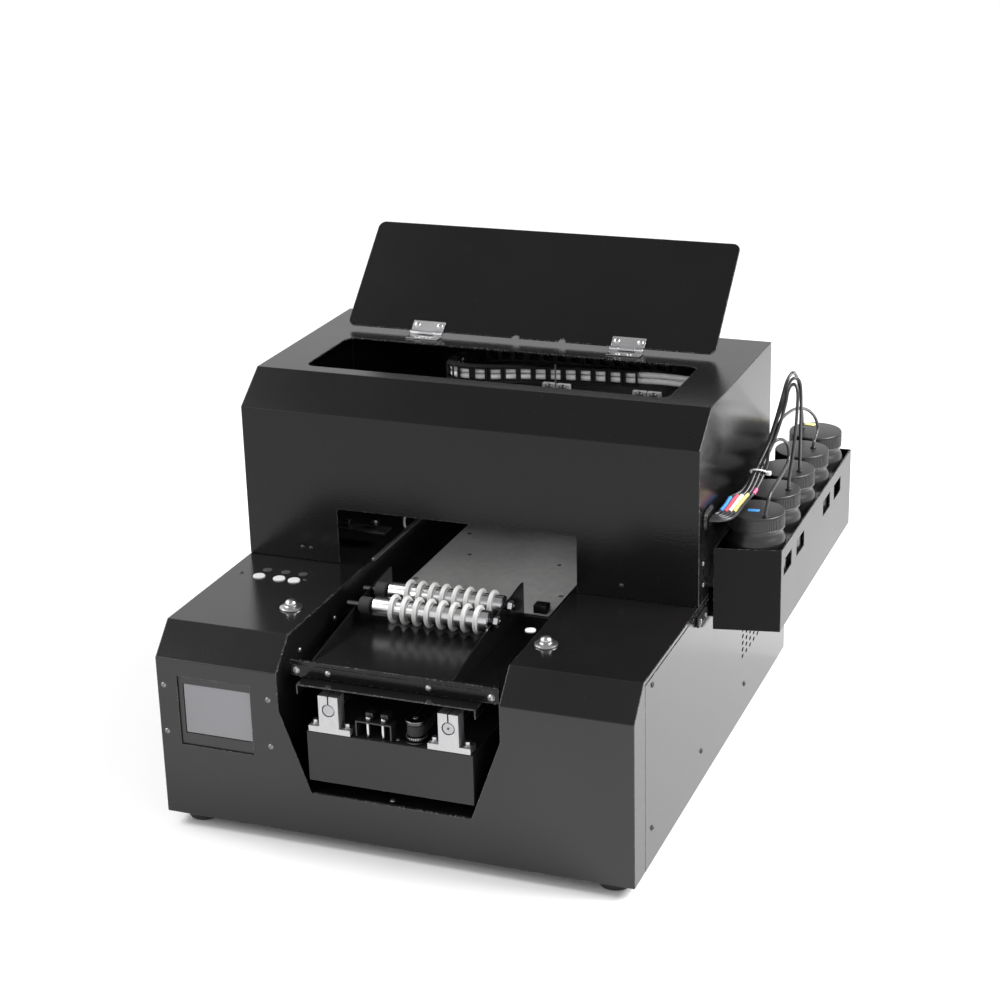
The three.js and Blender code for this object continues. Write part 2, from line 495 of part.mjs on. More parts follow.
// ---------- sliding bed and rotary cradle ----------
function bed() {
  const u = UNDER;
  const profile = outline([[u.x0, u.z0], [u.x0 + SHEET, u.z0], [u.x0 + SHEET, u.z1 - SHEET],
    [u.x1 - SHEET, u.z1 - SHEET], [u.x1 - SHEET, u.z0], [u.x1, u.z0], [u.x1, u.z1], [u.x0, u.z1]]);
  add('bed_under_plate', alongY(profile, u.y0, u.y1), powder);
  for (const [side, x] of [['left', -SHAFT_X], ['right', SHAFT_X]]) {
    let bearing = block(x - BLOCK.w / 2, x + BLOCK.w / 2, BLOCK.y0, BLOCK.y1, BLOCK.z0, u.z1 - SHEET - GAP);
    bearing = bearing.subtract(rod('y', x, SHAFT_Z, BLOCK.y0 - 1, BLOCK.y1 + 1, SHAFT_R + GAP));
    add(`${side}_bearing_block`, bearing, aluminium);
  }
  let tray = block(-BED_HALF, BED_HALF, BED_Y0, BED_Y1, u.z1 + GAP, BED_PLATE_Z);
  tray = tray.add(block(-BED_HALF, BED_HALF, BED_Y0 - SHEET, BED_Y0 + SHEET, u.z1 + GAP, BED_BAR_TOP_Z));
  add('bed_tray', tray, powder);

  const c = CRADLE;
  const foot = BED_PLATE_Z + GAP;
  const wall = outline([[c.y0, foot], [c.y1, foot], [c.y1, 192], [200, 192.5], [145, 188],
    [c.y0, c.top + 0.6]]);
  let cradle = block(c.x0, c.x1, c.y0, c.y1, c.top - c.slab, c.top);
  cradle = cradle.add(alongX(wall, c.x0, c.x0 + c.wall)).add(alongX(wall, c.x1 - c.wall, c.x1));
  for (const y of ROLLER.y) {
    cradle = cradle.subtract(rod('x', y, ROLLER.z, c.x0 - 1, c.x1 + 1, ROLLER.axleR + GAP, 16));
  }
  add('rotary_cradle', cradle, blackGloss);
  ['front_roller', 'rear_roller'].forEach((name, i) => {
    const y = ROLLER.y[i];
    let roller = rod('x', y, ROLLER.z, ROLLER.x0, ROLLER.x1, ROLLER.r, 24);
    roller = roller.add(rod('x', y, ROLLER.z, c.x0 - ROLLER.out, c.x1 + ROLLER.out, ROLLER.axleR, 16));
    roller = roller.add(rod('x', y, ROLLER.z, -77, -66, 8, 20));
    add(name, roller, steel);
  });
}

casing();
feet();
hood();
lid();
controls();
inkTray();
bottles();
tubes();
carriage();
dragChain();
stage();
bed();

export default part;
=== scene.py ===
import json
import math

import bmesh
import bpy
from mathutils import Matrix, Vector


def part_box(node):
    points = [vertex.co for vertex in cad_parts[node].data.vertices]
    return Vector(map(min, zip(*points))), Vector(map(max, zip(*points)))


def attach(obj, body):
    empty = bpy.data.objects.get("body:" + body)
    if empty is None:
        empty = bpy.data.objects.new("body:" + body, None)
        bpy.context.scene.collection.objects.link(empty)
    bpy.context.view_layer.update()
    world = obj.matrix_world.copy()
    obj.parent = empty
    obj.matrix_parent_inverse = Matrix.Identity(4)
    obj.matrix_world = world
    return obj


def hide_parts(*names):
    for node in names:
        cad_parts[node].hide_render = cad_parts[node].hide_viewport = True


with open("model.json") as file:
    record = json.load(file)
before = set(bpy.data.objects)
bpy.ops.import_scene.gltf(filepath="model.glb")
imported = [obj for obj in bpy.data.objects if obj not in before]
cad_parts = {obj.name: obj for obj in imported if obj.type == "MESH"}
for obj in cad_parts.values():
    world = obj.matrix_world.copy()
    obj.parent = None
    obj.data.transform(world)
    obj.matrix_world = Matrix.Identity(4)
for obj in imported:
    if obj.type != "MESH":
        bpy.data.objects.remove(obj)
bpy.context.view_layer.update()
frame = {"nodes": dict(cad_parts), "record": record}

record = frame["record"]
bodyOf = {node: body for body, nodes in record["behaviour"]["bodies"].items() for node in nodes}
scene = bpy.context.scene

coverLow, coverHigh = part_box("front_cover")
machineZero = Vector(((coverLow.x + coverHigh.x) / 2, coverLow.y, coverLow.z))
halfWidth = (coverHigh.x - coverLow.x) * 500
deckTop = (coverHigh.z - coverLow.z) * 1000


def at(x, y, z):
    # millimetres across, back from the front face and up from the casing's underside
    return machineZero + Vector((x, y, z)) * 0.001


camera = {
    "place": (750.7, -1627.9, 1009.3),
    "azimuth": 21.30,
    "dip": 20.46,
    "roll": -1.505,
    "lens": 78.85,
}


def setCamera():
    data = bpy.data.cameras.new("camera")
    data.lens = camera["lens"]
    data.clip_end = 60
    rig = bpy.data.objects.new("camera", data)
    scene.collection.objects.link(rig)
    turn = Matrix.Rotation(math.radians(camera["azimuth"]), 4, "Z")
    tip = Matrix.Rotation(math.radians(90 - camera["dip"]), 4, "X")
    roll = Matrix.Rotation(math.radians(camera["roll"]), 4, "Z")
    rig.matrix_world = Matrix.Translation(at(*camera["place"])) @ turn @ tip @ roll
    scene.camera = rig


lights = {
    "sun": {"from": (-0.9, -0.05, 0.85), "strength": 2.3, "angle": 0.5},
    "softboxes": [
        # name, place (m), aimed at (m), width and height (m), watts
        ("sideBox", (1.3, 0.25, 1.3), (0.36, 0.15, 0.0), (0.9, 0.9), 50),
        ("frontBox", (-0.9, -1.0, 0.8), (0.0, -0.45, 0.0), (0.5, 0.5), 3),
    ],
    "horizon": 1.05,             # sky strength low down, and overhead
    "zenith": 0.36,
    "skyFade": (0.42, 0.8),      # heights on the unit sky between which it dims
    "floorSize": 40,
}


def setLights():
    sun = lights["sun"]
    data = bpy.data.lights.new("sun", "SUN")
    data.energy = sun["strength"]
    data.angle = sun["angle"]
    lamp = bpy.data.objects.new("sun", data)
    scene.collection.objects.link(lamp)
    lamp.rotation_euler = (-Vector(sun["from"])).to_track_quat("-Z", "Y").to_euler()
    for name, place, target, size, watts in lights["softboxes"]:
        data = bpy.data.lights.new(name, "AREA")
        data.shape = "RECTANGLE"
        data.size, data.size_y = size
        data.energy = watts
        lamp = bpy.data.objects.new(name, data)
        scene.collection.objects.link(lamp)
        lamp.location = place
        lamp.rotation_euler = (Vector(target) - Vector(place)).to_track_quat("-Z", "Y").to_euler()
    world = bpy.data.worlds.new("studio")
    world.use_nodes = True
    graph = Graph(world.node_tree)
    ray = graph.node("ShaderNodeTexCoord").other("Generated")
    height = graph.node("ShaderNodeSeparateXYZ", None, {0: ray}).other("Z")
    low, high = lights["skyFade"]
    sockets = {"Value": height, "From Min": low, "From Max": high, "To Min": lights["horizon"],
               "To Max": lights["zenith"]}
    sky = world.node_tree.nodes["Background"]
    sky.inputs["Color"].default_value = (1, 1, 1, 1)
    world.node_tree.links.new(graph.node("ShaderNodeMapRange", None, sockets).socket, sky.inputs["Strength"])
    scene.world = world
    scene.view_settings.view_transform = "Standard"


class Wire:
    # an output socket that adds maths nodes when it is used in an expression
    def __init__(self, graph, socket):
        self.graph = graph
        self.socket = socket

    def calc(self, operation, a, b):
        return self.graph.node("ShaderNodeMath", {"operation": operation}, {0: a, 1: b})

    def __add__(self, other):
        return self.calc("ADD", self, other)

    def __radd__(self, other):
        return self.calc("ADD", other, self)

    def __sub__(self, other):
        return self.calc("SUBTRACT", self, other)

    def __rsub__(self, other):
        return self.calc("SUBTRACT", other, self)

    def __mul__(self, other):
        return self.calc("MULTIPLY", self, other)

    def __rmul__(self, other):
        return self.calc("MULTIPLY", other, self)

    def over(self, low, high):
        # 0 below low, 1 above high, straight between
        settings = {"clamp": True}
        sockets = {"Value": self, "From Min": low, "From Max": high}
        return self.graph.node("ShaderNodeMapRange", settings, sockets)

    def other(self, name):
        return Wire(self.graph, self.socket.node.outputs[name])


class Graph:
    def __init__(self, tree):
        self.tree = tree

    def node(self, kind, settings=None, sockets=None, out=0):
        made = self.tree.nodes.new(kind)
        for key, value in (settings or {}).items():
            setattr(made, key, value)
        for key, value in (sockets or {}).items():
            if isinstance(value, Wire):
                self.tree.links.new(value.socket, made.inputs[key])
            else:
                made.inputs[key].default_value = value
        return Wire(self, made.outputs[out])


mixColour = 2   # the colour output of a Mix node


class Finish(Graph):
    def __init__(self, name):
        self.material = bpy.data.materials.new(name)
        self.material.use_nodes = True
        super().__init__(self.material.node_tree)
        self.shader = self.tree.nodes["Principled BSDF"]
        self.place = self.node("ShaderNodeTexCoord").other("Object")

    def noise(self, scale, detail=2.0, rough=0.5, vector=None):
        sockets = {"Vector": vector or self.place, "Scale": scale, "Detail": detail, "Roughness": rough}
        return self.node("ShaderNodeTexNoise", {"noise_dimensions": "3D"}, sockets).other("Fac")

    def stretched(self, sizes):
        # object coordinates stretched by a factor along each axis
        sockets = {"Vector": self.place, "Scale": sizes}
        return self.node("ShaderNodeMapping", None, sockets)

    def blend(self, mask, a, b):
        settings = {"data_type": "RGBA"}
        return self.node("ShaderNodeMix", settings, {"Factor": mask, 6: a, 7: b}, mixColour)

    def edges(self, radius):
        # 1 on outside edges and 0 on flat faces
        soft = self.node("ShaderNodeBevel", {"samples": 4}, {"Radius": radius})
        flat = self.node("ShaderNodeNewGeometry").other("Normal")
        settings = {"operation": "DOT_PRODUCT"}
        same = self.node("ShaderNodeVectorMath", settings, {0: soft, 1: flat}).other("Value")
        return (1 - same).over(0.01, 0.10)

    def bump(self, height, distance, strength=1.0):
        sockets = {"Height": height, "Distance": distance, "Strength": strength}
        return self.node("ShaderNodeBump", None, sockets)

    def use(self, **sockets):
        names = {"colour": "Base Color", "roughness": "Roughness", "metallic": "Metallic", "normal": "Normal",
                 "coat": "Coat Weight", "coatRoughness": "Coat Roughness", "glow": "Emission Color",
                 "glowStrength": "Emission Strength", "specular": "Specular IOR Level"}
        for key, value in sockets.items():
            socket = self.shader.inputs[names[key]]
            if isinstance(value, Wire):
                self.tree.links.new(value.socket, socket)
            else:
                socket.default_value = value
        return self.material


# The edge amount sets how strongly outside edges get light-grey specks: partly chipped paint, partly a
# painted highlight along the folds.
def powderCoat(name, base, light, wear=0.7, grain=1.0, roughness=0.09, specular=0.5):
    f = Finish(name)
    peel = f.noise(520, 2.0, 0.5)
    pebble = f.noise(1500, 2.0, 0.5)
    cloud = f.noise(7, 3.0)
    dust = f.noise(420, 4.0, 0.7).over(0.67, 0.74)
    chipAndGlintSpecks = f.noise(700, 4.0, 0.75).over(0.52, 0.62)
    # light-grey specks on outside edges: partly chipped paint, partly a painted highlight along the folds
    wearAndEdgeHighlight = f.edges(0.0010) * chipAndGlintSpecks * wear
    colour = f.blend(cloud.over(0.3, 0.7), base, light)
    colour = f.blend(dust * 0.10, colour, (0.30, 0.30, 0.30, 1))
    colour = f.blend(wearAndEdgeHighlight, colour, (0.66, 0.65, 0.64, 1))
    rough = roughness + cloud * 0.10 + wearAndEdgeHighlight * 0.2
    height = peel * 1.0 + pebble * 0.35
    return f.use(colour=colour, roughness=rough, normal=f.bump(height, 0.00011 * grain, 0.9),
                 specular=specular)


def glossPaint(name, base, roughness):
    f = Finish(name)
    smear = f.noise(18, 4.0, 0.6)
    scratch = f.noise(420, 2.0, 0.5, f.stretched((5.0, 0.12, 1.0))).over(0.66, 0.76)
    rough = roughness + smear * 0.10 + scratch * 0.06
    colour = f.blend(scratch * 0.06, base, (0.09, 0.09, 0.09, 1))
    return f.use(colour=colour, roughness=rough, normal=f.bump(smear, 0.0002, 0.4), specular=0.4)


def brushedMetal(name, base, dark, roughness, grainSizes):
    f = Finish(name)
    lines = f.noise(420, 3.0, 0.6, f.stretched(grainSizes))
    cloud = f.noise(30, 2.0)
    colour = f.blend(lines.over(0.3, 0.7), base, dark)
    rough = roughness + lines * 0.12 + cloud * 0.06
    return f.use(colour=colour, roughness=rough, metallic=1.0, normal=f.bump(lines, 0.00003, 0.5))


def chrome(name, base, roughness):
    f = Finish(name)
    smudge = f.noise(60, 4.0, 0.6)
    pits = f.noise(1800, 2.0).over(0.68, 0.78)
    colour = f.blend(pits * 0.5, base, (0.32, 0.32, 0.33, 1))
    return f.use(colour=colour, roughness=roughness + smudge * 0.12, metallic=1.0)


def moulded(name, base, light, roughness, grain=0.00004, coat=0.0):
    f = Finish(name)
    spark = f.noise(2600, 2.0)
    cloud = f.noise(24, 2.0)
    colour = f.blend(cloud.over(0.35, 0.65), base, light)
    rough = roughness + cloud * 0.08
    return f.use(colour=colour, roughness=rough, normal=f.bump(spark, grain, 0.6), coat=coat)


def zincPlate(name):
    f = Finish(name)
    sockets = {"Vector": f.place, "Scale": 160.0}
    flakes = f.node("ShaderNodeTexVoronoi", {"feature": "F1"}, sockets).other("Color")
    shade = f.node("ShaderNodeRGBToBW", None, {0: flakes})
    speck = f.noise(900, 3.0, 0.7)
    colour = f.blend(shade.over(0.1, 0.9), (0.62, 0.62, 0.61, 1), (0.55, 0.55, 0.55, 1))
    rough = 0.36 + speck * 0.2
    return f.use(colour=colour, roughness=rough, metallic=0.12, normal=f.bump(speck, 0.00005, 0.6))


def screenFilm(name):
    f = Finish(name)
    cells = f.noise(2200, 1.0)
    glow = f.noise(9, 1.0)
    colour = f.blend(glow.over(0.3, 0.7), (0.112, 0.110, 0.120, 1), (0.135, 0.133, 0.144, 1))
    # the faint emission is painted light that lifts the pale screen's brightness
    return f.use(colour=colour, roughness=0.22 + cells * 0.05, coat=0.8, coatRoughness=0.05,
                 glow=(0.50, 0.50, 0.54, 1), glowStrength=0.06)


def floorFinish():
    f = Finish("paleFloor")
    grain = f.noise(3, 3.0)
    return f.use(colour=f.blend(grain, (0.90, 0.90, 0.90, 1), (0.92, 0.92, 0.92, 1)), roughness=0.65)


blackBase = (0.0055, 0.0050, 0.0052, 1)
blackLight = (0.0085, 0.0080, 0.0082, 1)
hoodBase = (0.0045, 0.0041, 0.0043, 1)
finishes = {
    "powder": powderCoat("texturedBlackPowder", blackBase, blackLight, specular=0.45),
    "hood": powderCoat("texturedBlackHood", hoodBase, blackBase, specular=0.25, roughness=0.12),
    "tray": powderCoat("texturedBlackTray", hoodBase, blackBase, specular=0.11, roughness=0.18),
    "stage": powderCoat("greyStagePaint", (0.016, 0.0155, 0.016, 1), (0.022, 0.0215, 0.022, 1),
                        wear=0.3, grain=0.5, roughness=0.30, specular=0.30),
    "table": glossPaint("glossBlackTable", (0.005, 0.005, 0.0055, 1), 0.17),
    "aluminium": brushedMetal("satinAluminium", (0.50, 0.50, 0.505, 1), (0.43, 0.43, 0.435, 1), 0.42,
                              (6.0, 0.3, 0.3)),
    "turned": brushedMetal("turnedSteel", (0.40, 0.40, 0.41, 1), (0.30, 0.30, 0.31, 1), 0.24,
                           (4.0, 0.2, 0.2)),
    "chrome": chrome("polishedChrome", (0.60, 0.60, 0.61, 1), 0.16),
    "zinc": zincPlate("brightZincPlate"),
    "screw": chrome("nickelScrew", (0.50, 0.50, 0.51, 1), 0.24),
    # a darker copy of the nickel screw finish: painted shade, so these screws do not mirror the white floor
    "greyScrew": chrome("zincScrew", (0.24, 0.24, 0.245, 1), 0.16),
    "darkScrew": chrome("blackenedScrew", (0.075, 0.075, 0.08, 1), 0.26),
    "rubber": moulded("footRubber", (0.012, 0.012, 0.012, 1), (0.02, 0.02, 0.02, 1), 0.75, 0.0001),
    "whiteRubber": moulded("siliconeWhite", (0.50, 0.50, 0.49, 1), (0.56, 0.56, 0.55, 1), 0.42),
    "whitePlastic": moulded("keyWhite", (0.60, 0.60, 0.60, 1), (0.66, 0.66, 0.66, 1), 0.25, coat=0.3),
    "greyLamp": moulded("lampGrey", (0.045, 0.045, 0.047, 1), (0.06, 0.06, 0.062, 1), 0.20),
    "plastic": moulded("mouldedBlack", (0.008, 0.008, 0.0085, 1), (0.013, 0.013, 0.0135, 1), 0.27),
    "cap": moulded("ribbedCapBlack", (0.010, 0.010, 0.0105, 1), (0.016, 0.016, 0.0165, 1), 0.34),
    "tube": moulded("inkTubeBlack", (0.020, 0.020, 0.022, 1), (0.034, 0.034, 0.036, 1), 0.22),
    "clip": moulded("clipGrey", (0.19, 0.19, 0.19, 1), (0.24, 0.24, 0.24, 1), 0.4),
    "clearTube": moulded("tubeWhite", (0.80, 0.80, 0.81, 1), (0.86, 0.86, 0.87, 1), 0.28),
    "screen": screenFilm("displayFilm"),
    "blue": moulded("sleeveBlue", (0.05, 0.27, 0.62, 1), (0.07, 0.32, 0.68, 1), 0.35),
    "red": moulded("sleeveRed", (0.62, 0.07, 0.10, 1), (0.68, 0.10, 0.13, 1), 0.35),
    "white": moulded("sleeveWhite", (0.86, 0.86, 0.86, 1), (0.90, 0.90, 0.90, 1), 0.35),
    "yellow": moulded("sleeveYellow", (0.76, 0.66, 0.22, 1), (0.80, 0.71, 0.28, 1), 0.35),
    "magenta": moulded("sleeveMagenta", (0.66, 0.09, 0.24, 1), (0.72, 0.12, 0.29, 1), 0.35),
}
print("finishes:", len(finishes))


def camel(node):
    first, *rest = node.split("_")
    return first + "".join(word.capitalize() for word in rest)


def newPiece(name, mesh, finish, body, nodes=()):
    piece = bpy.data.objects.new(name, mesh)
    scene.collection.objects.link(piece)
    if finish:
        mesh.materials.clear()
        mesh.materials.append(finishes[finish])
    if nodes:
        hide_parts(*nodes)
    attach(piece, body)
    return piece


def meshFrom(bm, name, smooth):
    bmesh.ops.recalc_face_normals(bm, faces=bm.faces)
    mesh = bpy.data.meshes.new(name)
    bm.to_mesh(mesh)
    bm.free()
    for polygon in mesh.polygons:
        polygon.use_smooth = True
    mesh.set_sharp_from_angle(angle=math.radians(smooth))
    return mesh


foldAngle = math.radians(28)   # a sharper bend than this is an edge


def softened(node, width, finish, broad=600, cut=0.3):
    # a copy of the CAD solid with rounded folds and lightly broken cut edges; broad is in mm2
    bm = bmesh.new()
    bm.from_mesh(frame["nodes"][node].data)
    bmesh.ops.remove_doubles(bm, verts=bm.verts, dist=1e-6)
    bmesh.ops.dissolve_limit(bm, angle_limit=math.radians(0.6), verts=bm.verts, edges=bm.edges)
    weight = bm.edges.layers.float.new("bevel_weight_edge")
    for edge in bm.edges:
        if len(edge.link_faces) == 2 and edge.calc_face_angle(0) > foldAngle:
            area = min(face.calc_area() for face in edge.link_faces) * 1e6
            edge[weight] = 1.0 if area > broad else cut
    mesh = bpy.data.meshes.new(camel(node))
    bm.to_mesh(mesh)
    bm.free()
    for polygon in mesh.polygons:
        polygon.use_smooth = True
    mesh.set_sharp_from_angle(angle=foldAngle)
    piece = newPiece(camel(node), mesh, finish, bodyOf[node], (node,))
    bevel = piece.modifiers.new("edges", "BEVEL")
    bevel.limit_method = "WEIGHT"
    bevel.width = width * 0.001
    bevel.segments = 2
    bevel.harden_normals = True
    bevel.use_clamp_overlap = True
    return piece


def lathe(name, profile, centre, axis="z", sides=64, finish="plastic", body="casing",
          nodes=(), smooth=35):
    # profile: (radius, height) in millimetres from end to end
    bm = bmesh.new()
    rings = []
    for radius, height in profile:
        ring = []
        for i in range(sides):
            angle = 2 * math.pi * i / sides
            a, b = radius * math.cos(angle), radius * math.sin(angle)
            spot = {"z": (a, b, height), "x": (height, a, b), "y": (a, height, b)}[axis]
            ring.append(bm.verts.new(at(*(Vector(centre) + Vector(spot)))))
        rings.append(ring)
    for low, high in zip(rings, rings[1:]):
        for i in range(sides):
            j = (i + 1) % sides
            bm.faces.new((low[i], low[j], high[j], high[i]))
    for ring in (rings[0], rings[-1]):
        bm.faces.new(ring)
    return newPiece(name, meshFrom(bm, name, smooth), finish, body, nodes)


def roundedBoxes(name, boxes, finish, body, width):
    # boxes: (x0, x1, y0, y1, z0, z1) in machine millimetres, each a closed body with broken edges
    bm = bmesh.new()
    for x0, x1, y0, y1, z0, z1 in boxes:
        low, high = at(x0, y0, z0), at(x1, y1, z1)
        made = bmesh.ops.create_cube(bm, size=1)["verts"]
        middle, size = (low + high) / 2, high - low
        for vert in made:
            vert.co = Vector(middle[i] + vert.co[i] * size[i] for i in range(3))
    edges = list(bm.edges)
    bmesh.ops.bevel(bm, geom=edges, offset=width * 0.001, segments=2, affect="EDGES", profile=0.5)
    return newPiece(name, meshFrom(bm, name, 40), finish, body)


def plate(name, outline, low, high, axis, finish, body, slot, width):
    # outline in x and z for a plate across y, in x and y for one across z, in machine millimetres
    order = {"y": lambda a, b, t: (a, t, b), "z": lambda a, b, t: (a, b, t)}[axis]
    bm = bmesh.new()
    bottom = [bm.verts.new(at(*order(a, b, low))) for a, b in outline]
    top = [bm.verts.new(at(*order(a, b, high))) for a, b in outline]
    bm.faces.new(bottom)
    bm.faces.new(top[::-1])
    for i in range(len(outline)):
        j = (i + 1) % len(outline)
        bm.faces.new((bottom[i], bottom[j], top[j], top[i]))
    bmesh.ops.recalc_face_normals(bm, faces=bm.faces)
    sharp = [edge for edge in bm.edges if edge.calc_face_angle(0) > math.radians(20)]
    bmesh.ops.bevel(bm, geom=sharp, offset=width * 0.001, segments=2, affect="EDGES", profile=0.5)
    return newPiece(name, meshFrom(bm, name, 40), finish, body)


def smoothRoute(points, steps=14):
    # centripetal Catmull-Rom curve through the points, in machine millimetres
    spots = [Vector(p) for p in points]
    spots = [spots[0] * 2 - spots[1]] + spots + [spots[-1] * 2 - spots[-2]]
    route = []
    for i in range(1, len(spots) - 2):
        p0, p1, p2, p3 = spots[i - 1:i + 3]
        t1 = (p1 - p0).length ** 0.5
        t2 = t1 + (p2 - p1).length ** 0.5
        t3 = t2 + (p3 - p2).length ** 0.5
        for k in range(steps):
            t = t1 + (t2 - t1) * k / steps
            a1 = p0 * ((t1 - t) / t1) + p1 * (t / t1)
            a2 = p1 * ((t2 - t) / (t2 - t1)) + p2 * ((t - t1) / (t2 - t1))
            a3 = p2 * ((t3 - t) / (t3 - t2)) + p3 * ((t - t2) / (t3 - t2))
            b1 = a1 * ((t2 - t) / t2) + a2 * (t / t2)
            b2 = a2 * ((t3 - t) / (t3 - t1)) + a3 * ((t - t1) / (t3 - t1))
            route.append(b1 * ((t2 - t) / (t2 - t1)) + b2 * ((t - t1) / (t2 - t1)))
    route.append(spots[-2])
    return route


def routeCurve(name, route, radius, finish):
    # a round tube along the points, as a curve of one open spline
    data = bpy.data.curves.new(name, "CURVE")
    data.dimensions = "3D"
    data.bevel_depth = radius * 0.001
    data.bevel_resolution = 4
    data.use_fill_caps = True
    spline = data.splines.new("POLY")
    spline.points.add(len(route) - 1)
    for point, spot in zip(spline.points, route):
        point.co = (*at(*spot), 1)
    spline.use_smooth = True
    data.materials.append(finishes[finish])
    curve = bpy.data.objects.new(name, data)
    scene.collection.objects.link(curve)
    return curve


def tubePiece(name, points, radius, finish, body, steps=8):
    curve = routeCurve(name, smoothRoute(points, steps), radius, finish)
    bpy.context.view_layer.update()
    mesh = bpy.data.meshes.new_from_object(curve.evaluated_get(bpy.context.evaluated_depsgraph_get()))
    bpy.data.objects.remove(curve)
    for polygon in mesh.polygons:
        polygon.use_smooth = True
    mesh.set_sharp_from_angle(angle=math.radians(50))
    return newPiece(name, mesh, finish, body)


class GeometryTree(Graph):
    def __init__(self, name, sizes):
        super().__init__(bpy.data.node_groups.new(name, "GeometryNodeTree"))
        face = self.tree.interface
        face.new_socket("Geometry", in_out="INPUT", socket_type="NodeSocketGeometry")
        for label, value in sizes.items():
            kind = "NodeSocketInt" if isinstance(value, int) else "NodeSocketFloat"
            face.new_socket(label, in_out="INPUT", socket_type=kind).default_value = value
        face.new_socket("Geometry", in_out="OUTPUT", socket_type="NodeSocketGeometry")
        self.source = self.node("NodeGroupInput")

    def size(self, label):
        return self.source.other(label)

    def vector(self, x, y, z):
        return self.node("ShaderNodeCombineXYZ", None, {0: x, 1: y, 2: z})

    def box(self, x, y, z):
        return self.node("GeometryNodeMeshCube", None, {"Size": self.vector(x, y, z)})

    def cylinder(self, sides, radius, depth):
        sockets = {"Vertices": sides, "Radius": radius, "Depth": depth}
        return self.node("GeometryNodeMeshCylinder", None, sockets)

    def moved(self, geometry, x=0.0, y=0.0, z=0.0, turn=(0, 0, 0), scale=(1, 1, 1)):
        sockets = {"Geometry": geometry, "Translation": self.vector(x, y, z), "Rotation": turn,
                   "Scale": scale}
        return self.node("GeometryNodeTransform", None, sockets)

    def joined(self, *geometries):
        made = self.node("GeometryNodeJoinGeometry")
        for geometry in geometries:
            self.tree.links.new(geometry.socket, made.socket.node.inputs[0])
        return made

    def cutBy(self, geometry, cutter):
        made = self.node("GeometryNodeMeshBoolean", {"operation": "DIFFERENCE"}, {"Mesh 1": geometry})
        self.tree.links.new(cutter.socket, made.socket.node.inputs["Mesh 2"])
        return made

    def onPoints(self, points, shape):
        # the shape's +Z points along each point's facing attribute
        settings = {"data_type": "FLOAT_VECTOR"}
        facing = self.node("GeometryNodeInputNamedAttribute", settings, {"Name": "facing"})
        turn = self.node("FunctionNodeAlignRotationToVector", {"axis": "Z"}, {"Vector": facing})
        sockets = {"Points": points, "Instance": shape, "Rotation": turn}
        return self.node("GeometryNodeInstanceOnPoints", None, sockets)

    def end(self, geometry, finish, smooth=True):
        real = self.node("GeometryNodeRealizeInstances", None, {0: geometry})
        if smooth:
            real = self.node("GeometryNodeSetShadeSmooth", None, {"Geometry": real})
        painted = self.node("GeometryNodeSetMaterial", None, {"Geometry": real, "Material": finishes[finish]})
        out = self.tree.nodes.new("NodeGroupOutput")
        self.tree.links.new(painted.socket, out.inputs[0])
        return self.tree


def grow(name, tree, sizes, mesh, body, nodes=(), sharp=30):
    # runs a tree on a mesh and keeps the result as a plain mesh piece
    seed = bpy.data.objects.new(name + "Seed", mesh)
    scene.collection.objects.link(seed)
    modifier = seed.modifiers.new("grow", "NODES")
    modifier.node_group = tree
    for item in tree.interface.items_tree:
        if item.item_type == "SOCKET" and item.in_out == "INPUT" and item.name in sizes:
            modifier[item.identifier] = sizes[item.name]
    bpy.context.view_layer.update()
    made = bpy.data.meshes.new_from_object(seed.evaluated_get(bpy.context.evaluated_depsgraph_get()))
    bpy.data.objects.remove(seed)
    made.name = name
    if sharp:
        made.set_sharp_from_angle(angle=math.radians(sharp))
    return newPiece(name, made, None, body, nodes)


def pointMesh(name, spots):
    # spots: ((x, y, z), facing) in machine millimetres
    mesh = bpy.data.meshes.new(name)
    mesh.from_pydata([at(*place) for place, _ in spots], [], [])
    facing = mesh.attributes.new("facing", "FLOAT_VECTOR", "POINT")
    for item, (_, direction) in zip(facing.data, spots):
        item.vector = direction
    return mesh


front, back, right, left, up = (0, -1, 0), (0, 1, 0), (1, 0, 0), (-1, 0, 0), (0, 0, 1)


def screws(name, kind, places, facing, radius, height, body="casing", slot="polished_steel"):
    # screw heads at places in machine millimetres, all facing one way
    seeds = pointMesh(name, [(place, facing) for place in places])
    return grow(name, trees[kind], {"radius": radius * 0.001, "height": height * 0.001}, seeds, body)


def panHeadTree(name, finish):
    # domed screw head with a crossed recess on a thin washer face
    t = GeometryTree(name, {"radius": 0.003, "height": 0.0018})
    r, h = t.size("radius"), t.size("height")
    ball = t.node("GeometryNodeMeshUVSphere", None, {"Segments": 24, "Rings": 12, "Radius": 1.0})
    dome = t.moved(ball, scale=t.vector(r, r, h))
    for turn in (0.0, math.pi / 2):
        bar = t.box(r * 1.25, r * 0.26, h * 0.9)
        dome = t.cutBy(dome, t.moved(bar, z=h * 1.05, turn=(0, 0, turn)))
    disc = t.cylinder(24, r * 1.08, h * 0.3)
    return t.end(t.onPoints(t.source, t.joined(dome, disc)), finish)


def capHeadTree(name, finish):
    # socket head screw: a drum with a six-sided recess, on a washer
    t = GeometryTree(name, {"radius": 0.0035, "height": 0.004})
    r, h = t.size("radius"), t.size("height")
    drum = t.cylinder(28, r, h)
    key = t.cylinder(6, r * 0.55, h)
    head = t.cutBy(t.moved(drum, z=h * 0.5 + 0.0008), t.moved(key, z=h * 0.95))
    washer = t.cylinder(28, r * 1.45, 0.0008)
    return t.end(t.onPoints(t.source, t.joined(head, t.moved(washer, z=0.0004))), finish)


